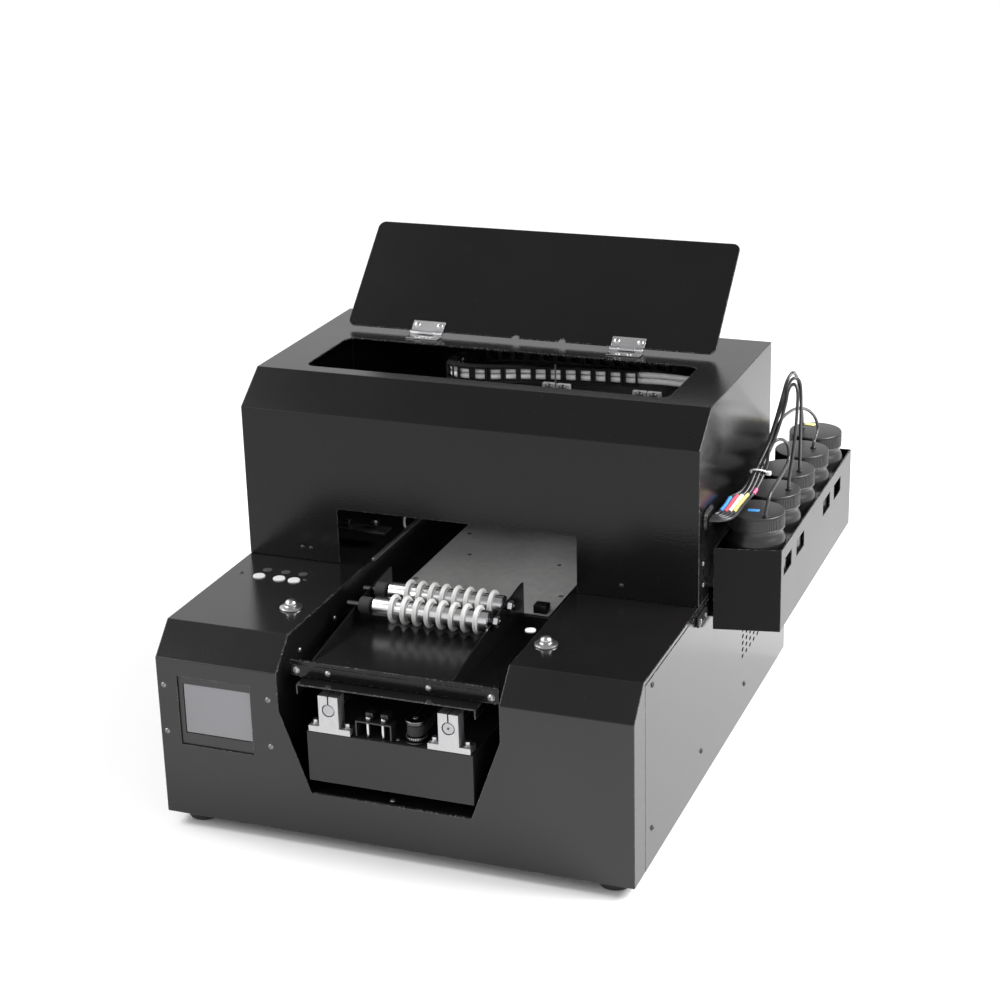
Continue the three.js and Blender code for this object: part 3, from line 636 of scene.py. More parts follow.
def ringTree(name, finish):
    # a round-section ring about each point's facing axis
    t = GeometryTree(name, {"radius": 0.013, "thickness": 0.0019})
    path = t.node("GeometryNodeCurvePrimitiveCircle", None, {"Resolution": 48, "Radius": t.size("radius")})
    sockets = {"Resolution": 12, "Radius": t.size("thickness")}
    section = t.node("GeometryNodeCurvePrimitiveCircle", None, sockets)
    ring = t.node("GeometryNodeCurveToMesh", None, {"Curve": path, "Profile Curve": section})
    return t.end(t.onPoints(t.source, ring), finish)


def ribTree(name, finish):
    # upright ribs round a drum at each point
    t = GeometryTree(name, {"count": 72, "radius": 0.0278, "depth": 0.0006, "width": 0.0012, "height": 0.012})
    ring = t.node("GeometryNodeMeshCircle", None, {"Vertices": t.size("count"), "Radius": t.size("radius")})
    rib = t.box(t.size("depth") * 2.0, t.size("width"), t.size("height"))
    normal = t.node("GeometryNodeInputPosition")
    turn = t.node("FunctionNodeAlignRotationToVector", {"axis": "X"}, {"Vector": normal})
    sockets = {"Points": ring, "Instance": rib, "Rotation": turn}
    drum = t.node("GeometryNodeInstanceOnPoints", None, sockets)
    drum = t.node("GeometryNodeRealizeInstances", None, {0: drum})
    return t.end(t.onPoints(t.source, drum), finish, smooth=False)


def ventTree(name, finish):
    # rows of oval holes through a panel that faces along X
    sizes = {"columns": 8, "rows": 9, "pitchY": 0.015, "pitchZ": 0.0074, "x": 0.0, "y": 0.0, "z": 0.0}
    t = GeometryTree(name, sizes)
    drill = t.cylinder(14, 1.0, 0.02)
    drill = t.moved(t.moved(drill, turn=(0, math.pi / 2, 0)), scale=(1.0, 0.0037, 0.0021))
    grid = t.node("GeometryNodeMeshGrid", None, {
        "Size X": t.size("pitchY") * (t.size("columns") - 1.0),
        "Size Y": t.size("pitchZ") * (t.size("rows") - 1.0),
        "Vertices X": t.size("columns"), "Vertices Y": t.size("rows")})
    upright = t.moved(t.moved(grid, turn=(math.pi / 2, 0, 0)), turn=(0, 0, math.pi / 2))
    placed = t.moved(upright, x=t.size("x"), y=t.size("y"), z=t.size("z"))
    holes = t.node("GeometryNodeInstanceOnPoints", None, {"Points": placed, "Instance": drill})
    holes = t.node("GeometryNodeRealizeInstances", None, {0: holes})
    return t.end(t.cutBy(t.source, holes), finish, smooth=False)


def discTree(name, finish):
    # low round button with a broken edge
    t = GeometryTree(name, {"radius": 0.004, "height": 0.001})
    r, h = t.size("radius"), t.size("height")
    foot = t.cylinder(32, r, h * 1.4)
    sockets = {"Vertices": 32, "Radius Top": r * 0.88, "Radius Bottom": r, "Depth": h * 0.3}
    rim = t.moved(t.node("GeometryNodeMeshCone", None, sockets), z=h * 0.7)
    return t.end(t.onPoints(t.source, t.joined(foot, rim)), finish)


def chainTree(name, finish):
    # cable chain links along a curve, each a frame with a window in both broad sides
    t = GeometryTree(name, {"pitch": 0.015, "height": 0.0168, "depth": 0.0105})
    sockets = {"Curve": t.node("GeometryNodeMeshToCurve", None, {0: t.source}), "Length": t.size("pitch")}
    points = t.node("GeometryNodeCurveToPoints", {"mode": "LENGTH"}, sockets)
    pitch, depth, height = t.size("pitch"), t.size("depth"), t.size("height")
    shell = t.box(pitch * 0.97, depth, height)
    window = t.box(pitch * 0.66, depth * 1.4, height * 0.74)
    tunnel = t.box(pitch * 1.4, depth * 0.76, height * 0.84)
    link = t.cutBy(t.cutBy(shell, window), tunnel)
    knuckle = t.cylinder(16, depth * 0.36, height * 1.04)
    link = t.joined(link, t.moved(knuckle, x=pitch * 0.5, scale=(0.55, 1, 1)))
    turn = t.node("FunctionNodeAlignRotationToVector", {"axis": "X"}, {"Vector": points.other("Tangent")})
    sockets = {"Points": points, "Instance": link, "Rotation": turn}
    return t.end(t.node("GeometryNodeInstanceOnPoints", None, sockets), finish, smooth=False)


trees = {
    "panHead": panHeadTree("panHeadScrews", "screw"),
    "greyPanHead": panHeadTree("greyPanHeadScrews", "greyScrew"),
    "darkPanHead": panHeadTree("darkPanHeadScrews", "darkScrew"),
    "capHead": capHeadTree("socketScrews", "screw"),
    "ring": ringTree("rollerRings", "whiteRubber"),
    "brightRing": ringTree("wireRings", "turned"),
    "ribs": ribTree("capRibs", "cap"),
    "teeth": ribTree("pulleyTeeth", "turned"),
    "vents": ventTree("ventHoles", "powder"),
    "chain": chainTree("cableChain", "plastic"),
    "lamp": discTree("lampDiscs", "greyLamp"),
    "brightDisc": discTree("brightDiscs", "whitePlastic"),
    "blackDisc": discTree("blackDiscs", "plastic"),
}
setCamera()
setLights()
floor = bpy.data.meshes.new("floor")
half = lights["floorSize"] / 2
corners = [(-half, -half, 0), (half, -half, 0), (half, half, 0), (-half, half, 0)]
floor.from_pydata(corners, [], [(0, 1, 2, 3)])
floor.materials.append(floorFinish())
floorPiece = bpy.data.objects.new("floor", floor)
scene.collection.objects.link(floorPiece)
print("camera, lights, floor")

inkTubes = {
    "diameter": 3.2,
    "sleeveRadius": 2.0,
    "sleeveCeiling": 282,        # sleeves stay below the bundle's rise
    "sleeves": [(294, 304), (247, 294), (246, 291), (244, 290), (245, 287)],   # along the casing
    "sleeveColours": ["magenta", "yellow", "white", "red", "blue"],
    "routes": [
        [(239.4, 220, 272), (249.1, 222.6, 272), (256.3, 229.6, 272), (259, 239.6, 272), (259.3, 264, 272),
         (260.1, 286, 272.3), (263.3, 299, 276.5), (267.6, 322, 293.4), (272.3, 315.9, 315.3),
         (277, 319.4, 321.4), (281.4, 328.3, 320.1), (284.6, 338.2, 310.7), (286.2, 335.9, 299.3),
         (286.8, 310.7, 293.6), (286.5, 277, 290.1), (285.8, 264, 286.5), (285.2, 256.5, 279),
         (285, 253.4, 273.5), (285, 253, 268.6)],
        [(239.4, 224, 272), (247.1, 226, 272), (252.8, 231.7, 272), (255, 239.6, 272), (255.3, 264, 272),
         (255.7, 286, 272.3), (259.3, 299, 276.5), (263.6, 322, 293.4), (268.6, 343.9, 310.5),
         (272.4, 358.8, 329.8), (275.6, 364, 347), (276.6, 367, 356.4), (278.4, 369.6, 361.2),
         (281.3, 371, 363), (284.1, 370.2, 360.8), (285.9, 368, 355.6), (287, 363, 341), (287.7, 353, 316),
         (288, 341, 294), (287.8, 333.8, 282), (287.6, 332.1, 275), (287.6, 332, 268.6)],
        [(239.4, 228, 272), (245.1, 229.5, 272), (249.4, 233.7, 272), (251, 239.6, 272), (251.3, 264, 272),
         (251.3, 286, 272.3), (255.3, 299, 276.5), (259.6, 322, 293.4), (264.6, 343.9, 310.5),
         (268.4, 358.8, 329.8), (273, 370.8, 348), (274.4, 374.6, 358.4), (276.4, 378, 363.8),
         (279.4, 381.4, 366), (282.4, 384.2, 363.8), (284.2, 385.7, 358.6), (285.2, 386.2, 347),
         (285.6, 385.6, 325), (285.5, 385.8, 300), (285.4, 386.4, 280), (285.4, 386.4, 268.6)],
        [(239.4, 232, 272), (243.2, 233, 272), (245.9, 235.7, 272), (247, 239.6, 272), (247.3, 264, 272),
         (247.4, 286, 272.3), (253.1, 300.3, 274.1), (261.5, 324.3, 290.4), (266.5, 346.6, 307.8),
         (270.2, 363, 325.8), (272.4, 392.7, 327.1), (275, 424.5, 321), (278.4, 454.6, 309), (281, 474, 294),
         (282.7, 475.8, 284.8), (282.6, 468.5, 277.6), (282.1, 461.6, 273.6), (282, 460, 268.6)],
        [(239.9, 237, 272), (241.6, 239, 272), (242.6, 241.3, 272), (243, 244, 272), (243.3, 264, 272),
         (243, 286, 272.3), (249, 300.3, 274.1), (257.4, 324.3, 290.4), (262.4, 346.6, 307.8),
         (266.2, 361.9, 327.7), (269.4, 377, 350), (271.6, 382.5, 362), (274.2, 392, 367.6),
         (274.8, 406, 361.5), (272.4, 432, 341.5), (268.4, 458, 319), (263.8, 484, 298.5),
         (259.4, 506, 283.5), (257, 516.5, 276.5), (256.5, 519, 272.5), (256.5, 519, 268.6)],
    ],
}


def makeInkTubes():
    for i, points in enumerate(inkTubes["routes"]):
        route = smoothRoute(points)
        length = sum((b - a).length for a, b in zip(route, route[1:])) * 0.001
        tube = routeCurve(f"inkTube{i + 1}", route, inkTubes["diameter"] / 2, "tube")
        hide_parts(f"ink_tube_{i + 1}")
        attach(tube, "casing")
        low, high = inkTubes["sleeves"][i]
        colour = inkTubes["sleeveColours"][i]
        covered = [spot for spot in route if low < spot.y < high and spot.z < inkTubes["sleeveCeiling"]][::3]
        radius = inkTubes["sleeveRadius"]
        sleeve = tubePiece(f"tubeSleeve{i + 1}", covered, radius, colour, "casing", 4)


makeInkTubes()
print("ink tubes:", len(inkTubes["routes"]))

casing = {
    "fold": 1.3,                 # outside radius of the folded sheet
    "back": 549,
    "hoodFront": 201.6,
    "hoodBack": 466,
    "innerSheets": {"base_plate": 0.3, "channel_floor": 0.3, "rear_panel": 0.4},   # edge radius
    # screw places, then the radius and height of their heads
    "wallScrews": [(53.5, 177), (530, 177), (52, 35), (214, 34), (376, 33), (530, 35)],
    "wallHead": (2.7, 1.5),
    "hoodSideScrews": [(215.6, 229.4), (216.2, 207.7), (440, 229.4), (440, 207.7)],
    "hoodSideHead": (2.3, 1.3),
    "hoodFrontScrews": [(-166.6, 203), (159, 203), (-176, 203)],
    "hoodFrontHead": (2.3, 1.2),
    "hoodRearScrews": [(x, z) for x in (-222, 0, 222) for z in (203, 362)],
    "hoodRearHead": (2.5, 1.4),
    "rearScrews": [(x, z) for x in (-226, -76, 76, 226) for z in (10, 180)] + [(-226, 95), (226, 95)],
    "latchOut": 3.5,
    "latch": (192, 221, 173, 184),
    "latchScrews": [(198, 178.5), (214, 178.5)],
    "latchHead": (2.4, 1.2),
    "vent": {"columns": 9, "rows": 9, "y": 428, "z": 97.6},
    "footProfile": [(5, -9.5), (6, -12), (13.2, -12), (15, -11.3), (15.8, -9.6), (16, -6), (16, -0.3),
                    (5, -0.3)],
    "footScrew": -9.4,
    "footHead": (4, 1.6),
}


def makeSidePanel(side):
    panel = frame["nodes"][f"{side}_side_panel"].data.copy()
    solid = bmesh.new()
    solid.from_mesh(panel)
    bmesh.ops.remove_doubles(solid, verts=solid.verts, dist=1e-6)
    bmesh.ops.dissolve_limit(solid, angle_limit=0.01, verts=solid.verts, edges=solid.edges)
    bmesh.ops.bevel(solid, geom=list(solid.edges), offset=0.0003, segments=1, affect="EDGES")
    solid.to_mesh(panel)
    solid.free()
    vent = casing["vent"]
    centre = at(halfWidth if side == "right" else -halfWidth, vent["y"], vent["z"])
    sizes = {"columns": vent["columns"], "rows": vent["rows"], "x": centre.x, "y": centre.y, "z": centre.z}
    grow(f"{side}SidePanel", trees["vents"], sizes, panel, "casing", (f"{side}_side_panel",))


def makeFeet():
    for row in ("front", "rear"):
        for side in ("left", "right"):
            node = f"foot_{row}_{side}"
            low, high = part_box(node)
            middle = ((low + high) / 2 - machineZero) * 1000
            lathe(camel(node), casing["footProfile"], (middle.x, middle.y, 0), sides=40, finish="rubber",
                  nodes=(node,))
            screws(camel(node) + "Screw", "panHead", [(middle.x, middle.y, casing["footScrew"])], (0, 0, -1),
                   *casing["footHead"])


def makeCasing():
    fold = casing["fold"]
    softened("front_cover", fold, "powder")
    softened("hood_shell", fold, "hood")
    softened("ink_tray", fold, "tray")
    softened("lid_panel", 0.5, "hood", cut=1)
    for node, edge in casing["innerSheets"].items():
        softened(node, edge, "powder", cut=1)
    for side, facing in (("left", left), ("right", right)):
        x = facing[0] * halfWidth
        softened(f"{side}_channel_wall", 0.4, "powder", cut=1)
        makeSidePanel(side)
        spots = [(x, y, z) for y, z in casing["wallScrews"]]
        screws(f"{side}WallScrews", "darkPanHead", spots, facing, *casing["wallHead"])
        spots = [(x, y, z) for y, z in casing["hoodSideScrews"]]
        screws(f"{side}HoodScrews", "greyPanHead", spots, facing, *casing["hoodSideHead"])
        out = x + facing[0] * casing["latchOut"]
        latch = (*sorted((x, out)), *casing["latch"])
        roundedBoxes(f"{side}HoodLatch", [latch], "plastic", "casing", 1.4)
        spots = [(out, y, z) for y, z in casing["latchScrews"]]
        screws(f"{side}LatchScrews", "greyPanHead", spots, facing, *casing["latchHead"])
    spots = [(x, casing["hoodFront"], z) for x, z in casing["hoodFrontScrews"]]
    screws("hoodFrontScrews", "darkPanHead", spots, front, *casing["hoodFrontHead"])
    spots = [(x, casing["back"], z) for x, z in casing["rearScrews"]]
    screws("rearPanelScrews", "darkPanHead", spots, back, *casing["wallHead"])
    spots = [(x, casing["hoodBack"], z) for x, z in casing["hoodRearScrews"]]
    screws("hoodRearScrews", "darkPanHead", spots, back, *casing["hoodRearHead"])
    makeFeet()


makeCasing()
print("casing")

controls = {
    "domes": [(-133.3, 85.6), (126.6, 78.7)],
    "domeProfile": [(10.6, 0), (11, 0.4), (10.9, 1.3), (9.6, 2.1), (7.6, 2.5), (6.3, 2.9), (5.7, 3.5),
                    (5.9, 4.4), (5.6, 5.8), (4.7, 7.2), (3.3, 8.2), (1.7, 8.7), (0.4, 8.8)],
    "lamps": [-197.8, -177.6, -158.9],
    "lampRow": 165,
    "buttons": [-198.3, -176.4, -160.3],
    "buttonRow": 147.3,
    "buttonProfile": [(0.5, 181), (7.4, 181), (7.6, 181.2), (7.6, 183), (6, 183), (6, 190.9), (5.8, 191.2),
                      (5.4, 191.4), (0.5, 191.4)],
    "displayScrews": [(-228.2, 134.5), (-228.2, 86.5), (-119.3, 134.5), (-119.3, 86.5)],
}


def makeControls():
    for side, (x, y) in zip(("left", "right"), controls["domes"]):
        lathe(side + "DeckDome", controls["domeProfile"], (x, y, deckTop), sides=48, finish="screw",
              smooth=30)
    screws("deckDisc", "brightDisc", [(101.8, 105, deckTop)], up, 5, 0.9)
    spots = [(x, controls["lampRow"], deckTop) for x in controls["lamps"]]
    screws("statusLamps", "lamp", spots, up, 4.65, 0.5, slot="moulded_black")
    screws("deckScrews", "darkPanHead", [(-219.3, 150.4, deckTop), (-150.6, 153, deckTop)], up, 2.2, 1.1)
    # these front-facing screws take the darker nickel copy, a painted shade on their reflection
    screws("displayScrews", "greyPanHead", [(x, 0, z) for x, z in controls["displayScrews"]], front, 2.5, 1.4)
    softened("display_bezel", 0.6, "plastic", cut=1)
    softened("display_screen", 0.3, "screen", cut=1)
    for i, x in enumerate(controls["buttons"], 1):
        lathe(f"controlButton{i}", controls["buttonProfile"], (x, controls["buttonRow"], 0), sides=48,
              finish="whitePlastic", body=f"button_{i}",
              nodes=(f"control_button_{i}",), smooth=25)
    softened("power_switch", 0.8, "plastic", cut=1, broad=0)


makeControls()
print("controls")

hinges = {
    "axis": (388.5, 378.5),
    "open": 137,                 # degrees back from closed
    "leafX": [-112.6, 105.2],
    "lidScrew": 12.5,
    "lidReach": 9.6,
    "hoodScrew": 6,
}


def lidPoint(x, reach, rise):
    # a place on the opened lid: reach out from the hinge axis and rise above it with the lid closed
    turn = math.radians(hinges["open"])
    y, z = hinges["axis"]
    across, lift = math.cos(turn), math.sin(turn)
    return (x, y - reach * across + rise * lift, z + reach * lift + rise * across)


def makeHinges():
    turn = math.radians(hinges["open"])
    underside = (0, -math.sin(turn), -math.cos(turn))
    for side, x in zip(("left", "right"), hinges["leafX"]):
        softened(f"{side}_lid_hinge_leaf", 0.25, "chrome", cut=1, broad=0)
        softened(f"{side}_hood_hinge_leaf", 0.25, "chrome", cut=1, broad=0)
        offset = hinges["lidScrew"]
        spots = [lidPoint(x + dx, hinges["lidReach"], 0.1) for dx in (-offset, offset)]
        screws(f"{side}LidHingeScrews", "panHead", spots, underside, 3.2, 1.2, "lid")
        offset = hinges["hoodScrew"]
        spots = [(x + dx, 378.3, 376.8) for dx in (-offset, offset)]
        screws(f"{side}HoodHingeScrews", "panHead", spots, up, 2.6, 0.9)


makeHinges()
print("hinges")

ink = {
    "x": 271.5,
    "first": 271,
    "pitch": 61.2,
    "bottle": [(26.7, 157.3), (28, 158), (28.7, 159.6), (28.7, 236), (28.5, 239.5), (27.8, 242.4),
               (26.8, 244.8), (25.8, 246.6), (25.2, 248.4), (25, 250), (25, 265)],
    "cap": [(0.5, 265.3), (25.5, 265.3), (25.5, 252.3), (27.1, 252.3), (27.3, 252.7), (27.3, 253.9),
            (26.9, 254.3), (26.9, 265.9), (27.3, 266.3), (27.2, 267.1), (26.6, 267.8), (25.6, 268),
            (0.5, 268)],
    "ribs": {"count": 84, "radius": 0.0269, "depth": 0.0004, "width": 0.0010, "height": 0.0116},
    "ribMiddle": 260.1,
    "capTop": 268,
    "nipples": [(285, 253), (287.6, 332), (285.4, 386.4), (282, 460), (256.5, 519)],
    "tie": (261.5, 317.5, 288.4),
    "tieSize": (8.4, 4.2),
    "tieLean": 38,               # degrees that the tie leans to sit square on the tubes
    "labelFaces": (268.02, 268.35),
    "labels": [("blue", 269.7, 267.3, 5.5, 3.2, 0.1), ("yellow", 262, 533, 5.5, 3.6, -0.2)],
}


def makeInk():
    rows = [ink["first"] + ink["pitch"] * i for i in range(5)]
    for i, y in enumerate(rows, 1):
        lathe(f"inkBottle{i}", ink["bottle"], (ink["x"], y, 0), sides=56, finish="plastic",
              nodes=(f"ink_bottle_{i}",))
        lathe(f"bottleCap{i}", ink["cap"], (ink["x"], y, 0), sides=64, finish="cap",
              nodes=(f"bottle_cap_{i}",))
    seeds = pointMesh("capRibs", [((ink["x"], y, ink["ribMiddle"]), up) for y in rows])
    grow("capRibs", trees["ribs"], ink["ribs"], seeds, "casing")
    spots = [(x, y, ink["capTop"]) for x, y in ink["nipples"]]
    screws("capNipples", "blackDisc", spots, up, 2.9, 1.8, slot="moulded_black")
    for colour, x, y, across, along, turn in ink["labels"]:
        corners = [(-across, -along), (across, -along), (across, along), (-across, along)]
        spin = Matrix.Rotation(turn, 2)
        outline = [tuple(Vector((x, y)) + spin @ Vector(corner)) for corner in corners]
        low, high = ink["labelFaces"]
        plate(colour + "Label", outline, low, high, "z", colour, "casing", "moulded_black", 0.08)
    softened("tube_grommet", 0.6, "hood", cut=1)
    cx, cy, cz = ink["tie"]
    across, along = ink["tieSize"]
    lean = math.radians(ink["tieLean"])
    turns = [2 * math.pi * i / 20 for i in range(21)]
    tie = [(cx + across * math.cos(a), cy - along * math.sin(a) * math.sin(lean),
            cz + along * math.sin(a) * math.cos(lean)) for a in turns]
    tubePiece("cableTie", tie, 0.9, "white", "casing", 3)
    lock = (cx + across - 0.6, cx + across + 3.4, cy - 2, cy + 2, cz - 2, cz + 2)
    roundedBoxes("cableTieLock", [lock], "white", "casing", 0.6)


makeInk()
print("ink bottles")

stage = {
    "shaftX": (-59.3, 59.3),
    "shaftHeight": 131,
    "shaft": [(0.5, 2.7), (5.2, 2.6), (5.8, 3.2), (5.8, 537.4), (5.2, 538), (0.5, 538)],
    "boltSeat": (9.2, 113.8),
    "boltSpread": 16,            # from the shaft's middle
    "idler": (22, 16.5),
    "idlerProfile": [(3.5, 108.2), (11.5, 108.2), (12, 108.6), (12, 109.6), (8.4, 110), (8.2, 111),
                     (9.2, 111.4), (9.2, 113.4), (7, 113.7), (7, 125.3), (9.5, 125.6), (9.8, 126),
                     (9.8, 128.2), (9.3, 129.2), (8.2, 129.6), (3.6, 129.7), (3.2, 130), (0.4, 130)],
    "teeth": {"count": 30, "radius": 0.0092, "depth": 0.0006, "width": 0.0009, "height": 0.0019},
    "teethHeight": 112.4,
    "rim": {"radius": 0.0094, "thickness": 0.0004},
    "rimHeights": (128.9, 109.4),
    "beltRadii": (8.5, 7.3),
    "beltFaces": (114.6, 124.4),
    "beltReach": 505,
    "topScrews": [(5, 12, 107.5), (41, 14, 107.5), (-14, 22, 107.5)],
    "pins": (-22, -7),
    "pinTop": (9, 126.8),
    "post": (1.1, 6.2, 8.4, 108.2, 122.4),       # half width, then its extent in y and z
    "sensorBody": (3.6, 10.5, 22, 124.2, 131),
    "floorScrew": (-1.8, 10, 44.5),
    "wallScrews": [(109.6, 52, 164), (109.6, 130, 164)],
}


def beltBend(radius):
    # the belt's half turn round the front of the idler
    x, y = stage["idler"]
    turns = [math.pi + math.pi * i / 16 for i in range(17)]
    return [(x + radius * math.cos(a), y + radius * math.sin(a)) for a in turns]


def onPins(half, *extent):
    return [(x - half, x + half, *extent) for x in stage["pins"]]


def makeIdler():
    x, y = stage["idler"]
    lathe("beltIdler", stage["idlerProfile"], (x, y, 0), sides=48, finish="darkScrew", body="idler",
          nodes=("belt_idler",), smooth=25)
    seeds = pointMesh("idlerTeeth", [((x, y, stage["teethHeight"]), up)])
    grow("idlerTeeth", trees["teeth"], stage["teeth"], seeds, "idler")
    rims = pointMesh("idlerRims", [((x, y, z), up) for z in stage["rimHeights"]])
    grow("idlerRims", trees["brightRing"], stage["rim"], rims, "idler")
    screws("idlerScrew", "panHead", [(x, y, 130)], up, 2.6, 0.9, "idler")
    outer, inner = stage["beltRadii"]
    reach = stage["beltReach"]
    loop = [(x - outer, reach)] + beltBend(outer) + [(x + outer, reach), (x + inner, reach)]
    loop += beltBend(inner)[::-1] + [(x - inner, reach)]
    plate("driveBelt", loop, *stage["beltFaces"], "z", "rubber", "stage", "moulded_black", 0.2)


def makeStage():
    softened("stage_frame", 1.0, "stage")
    softened("rear_shaft_block", 0.5, "aluminium", cut=1)
    bolts = []
    spread = stage["boltSpread"]
    for side, x in zip(("left", "right"), stage["shaftX"]):
        softened(f"{side}_shaft_support", 0.45, "aluminium", cut=1, broad=0)
        lathe(f"{side}Shaft", stage["shaft"], (x, 0, stage["shaftHeight"]), "y", 40, "turned", "stage",
              (f"{side}_shaft",))
        bolts += [(x - spread, *stage["boltSeat"]), (x + spread, *stage["boltSeat"])]
    screws("supportBolts", "capHead", bolts, up, 2.9, 3.6, "stage")
    centre = (stage["shaftX"][1], 2.7, stage["shaftHeight"])
    screws("shaftEndMarks", "blackDisc", [centre], front, 1.1, 0.3, "stage", "moulded_black")
    makeIdler()
    screws("stageScrews", "panHead", stage["topScrews"], up, 2.3, 1.1, "stage")
    softened("limit_sensor", 0.35, "plastic", cut=1, broad=0)
    screws("sensorPins", "panHead", [(x, *stage["pinTop"]) for x in stage["pins"]], up, 2.5, 1.8, "stage")
    roundedBoxes("sensorPosts", onPins(*stage["post"]), "screw", "stage", 0.4)
    roundedBoxes("sensorBodies", onPins(*stage["sensorBody"]), "plastic", "stage", 0.6)
    screws("floorScrews", "panHead", [stage["floorScrew"]], up, 2.6, 1.4)
    screws("rightChannelScrews", "panHead", stage["wallScrews"], left, 2.4, 1.2)
    spots = [(-x, y, z) for x, y, z in stage["wallScrews"]]
    screws("leftChannelScrews", "panHead", spots, right, 2.4, 1.2)


makeStage()
print("stage")

bed = {
    "outerScrews": (-97.3, 95.5),
    "innerScrews": (-65.5, 34.6),
    "barFront": 18.5,
    "strip": (-103, 103, 17.7, 18.45, 165.6, 170),
    "plate": (-83, 83, 208, 429, 158.1, 159.4),
    "plateTop": 159.4,
    "holes": [(-49.5, 333.5), (49.5, 333.5), (-71.5, 389), (71.5, 389)],
    "corners": [(x, y) for x in (-78, 78) for y in (257, 415)],
    "stop": (66, 80, 209, 221, 159.5, 168),
}


def makeBed():
    softened("bed_under_plate", 0.5, "powder", cut=1, broad=0)
    softened("bed_tray", 0.7, "hood", cut=1, broad=0)
    for side in ("left", "right"):
        softened(f"{side}_bearing_block", 0.6, "aluminium", cut=1, broad=0)
    face = bed["barFront"]
    screws("barOuterScrews", "panHead", [(x, face, 160) for x in bed["outerScrews"]], front, 3.0, 1.9, "bed")
    spots = [(x, face, 160.5) for x in bed["innerScrews"]]
    screws("barInnerScrews", "panHead", spots, front, 2.6, 1.6, "bed")
    screws("barTopDomes", "panHead", [(x, 27, 158) for x in bed["outerScrews"]], up, 3.0, 9.5, "bed")
    roundedBoxes("barStrip", [bed["strip"]], "hood", "bed", 0.25)
    roundedBoxes("brightPlate", [bed["plate"]], "zinc", "bed", 0.3)
    spots = [(x, y, bed["plateTop"]) for x, y in bed["holes"]]
    screws("plateHoles", "blackDisc", spots, up, 2.2, 0.25, "bed", "moulded_black")
    spots = [(x, y, bed["plateTop"]) for x, y in bed["corners"]]
    screws("plateScrews", "panHead", spots, up, 2.6, 0.45, "bed")
    roundedBoxes("plateStop", [bed["stop"]], "plastic", "bed", 0.8)


makeBed()
print("bed")

cradle = {
    "rollerRows": {"front": 122, "rear": 160},
    "height": 186,
    "drum": [(0.5, -62.3), (8.6, -62.3), (9.7, -61.6), (10, -60.4), (10, 53.6), (9.7, 55), (8.6, 55.6),
             (0.5, 55.6)],
    "axle": [(0.5, -90.9), (2.5, -90.9), (3, -90.4), (3, 65.4), (2.5, 65.9), (0.5, 65.9)],
    "hub": [(3.1, -77), (7.2, -77), (8, -76.2), (8, -66.8), (7.2, -66), (3.1, -66)],
    "nut": [(3.1, 59.8), (5.2, 59.8), (5.8, 60.4), (5.8, 63.6), (5.2, 64.2), (3.1, 64.2)],
    "rings": [-42 + 12.3 * i for i in range(8)],
    "ring": {"radius": 0.0121, "thickness": 0.0021},
}


def makeCradle():
    softened("rotary_cradle", 0.5, "table", cut=1, broad=0)
    for row, y in cradle["rollerRows"].items():
        centre, body = (0, y, cradle["height"]), f"{row}_roller"
        lathe(f"{row}Roller", cradle["drum"], centre, "x", 64, "chrome", body,
              (f"{row}_roller",))
        lathe(f"{row}Axle", cradle["axle"], centre, "x", 32, "darkScrew", body)
        lathe(f"{row}Hub", cradle["hub"], centre, "x", 40, "rubber", body)
        lathe(f"{row}Nut", cradle["nut"], centre, "x", 6, "screw", body, smooth=20)
        seeds = pointMesh(f"{row}Rings", [((x, y, cradle["height"]), right) for x in cradle["rings"]])
        grow(f"{row}Rings", trees["ring"], cradle["ring"], seeds, body, sharp=0)


makeCradle()
print("cradle")

inside = {
    "chain": [(112, 383), (60, 377), (5, 366), (-45, 352), (-70, 356), (-74, 388), (-56, 424), (-10, 438),
              (60, 440), (128, 440)],
    "chainMiddle": 351.5,
    "tubeRows": (348.4, 354.7),
    "ribbonEnds": [(140, 386), (172, 384)],
    "clips": (42, 137),
    "clipHalf": (0.6, 14.5),     # near and far side of each half of a clip
    "clipExtent": (352, 358, 334, 347.5),
    "postHalf": 9,
    "postExtent": (312, 353, 330.3, 335),
    "clipScrew": (7.2, 352, 343.6),
    "guideRod": [(43, 349, 346), (43, 349, 355), (43, 349, 369)],
    "beamRail": (-228, 228, 304.2, 307.8, 303, 317),
    "carriageScrews": [(x, y, 308) for x in (116, 184) for y in (218, 232)],
    "fins": [(79, 105, 224 + 6 * i, 226 + 6 * i, 300.2, 306) for i in range(11)],
    "innerRail": (-101.5, -98.5, 203.6, 460, 196, 199.6),
    "sockets": [(-156, -149, 256, 262, 208, 215), (-126, -119, 258, 264, 211, 217)],
    "shelf": (-165, -108, 250, 268, 205, 207.8),
    "whiteWire": [(-113, 314, 189), (-113.5, 313, 196), (-111, 312, 203), (-106, 312, 205)],
}


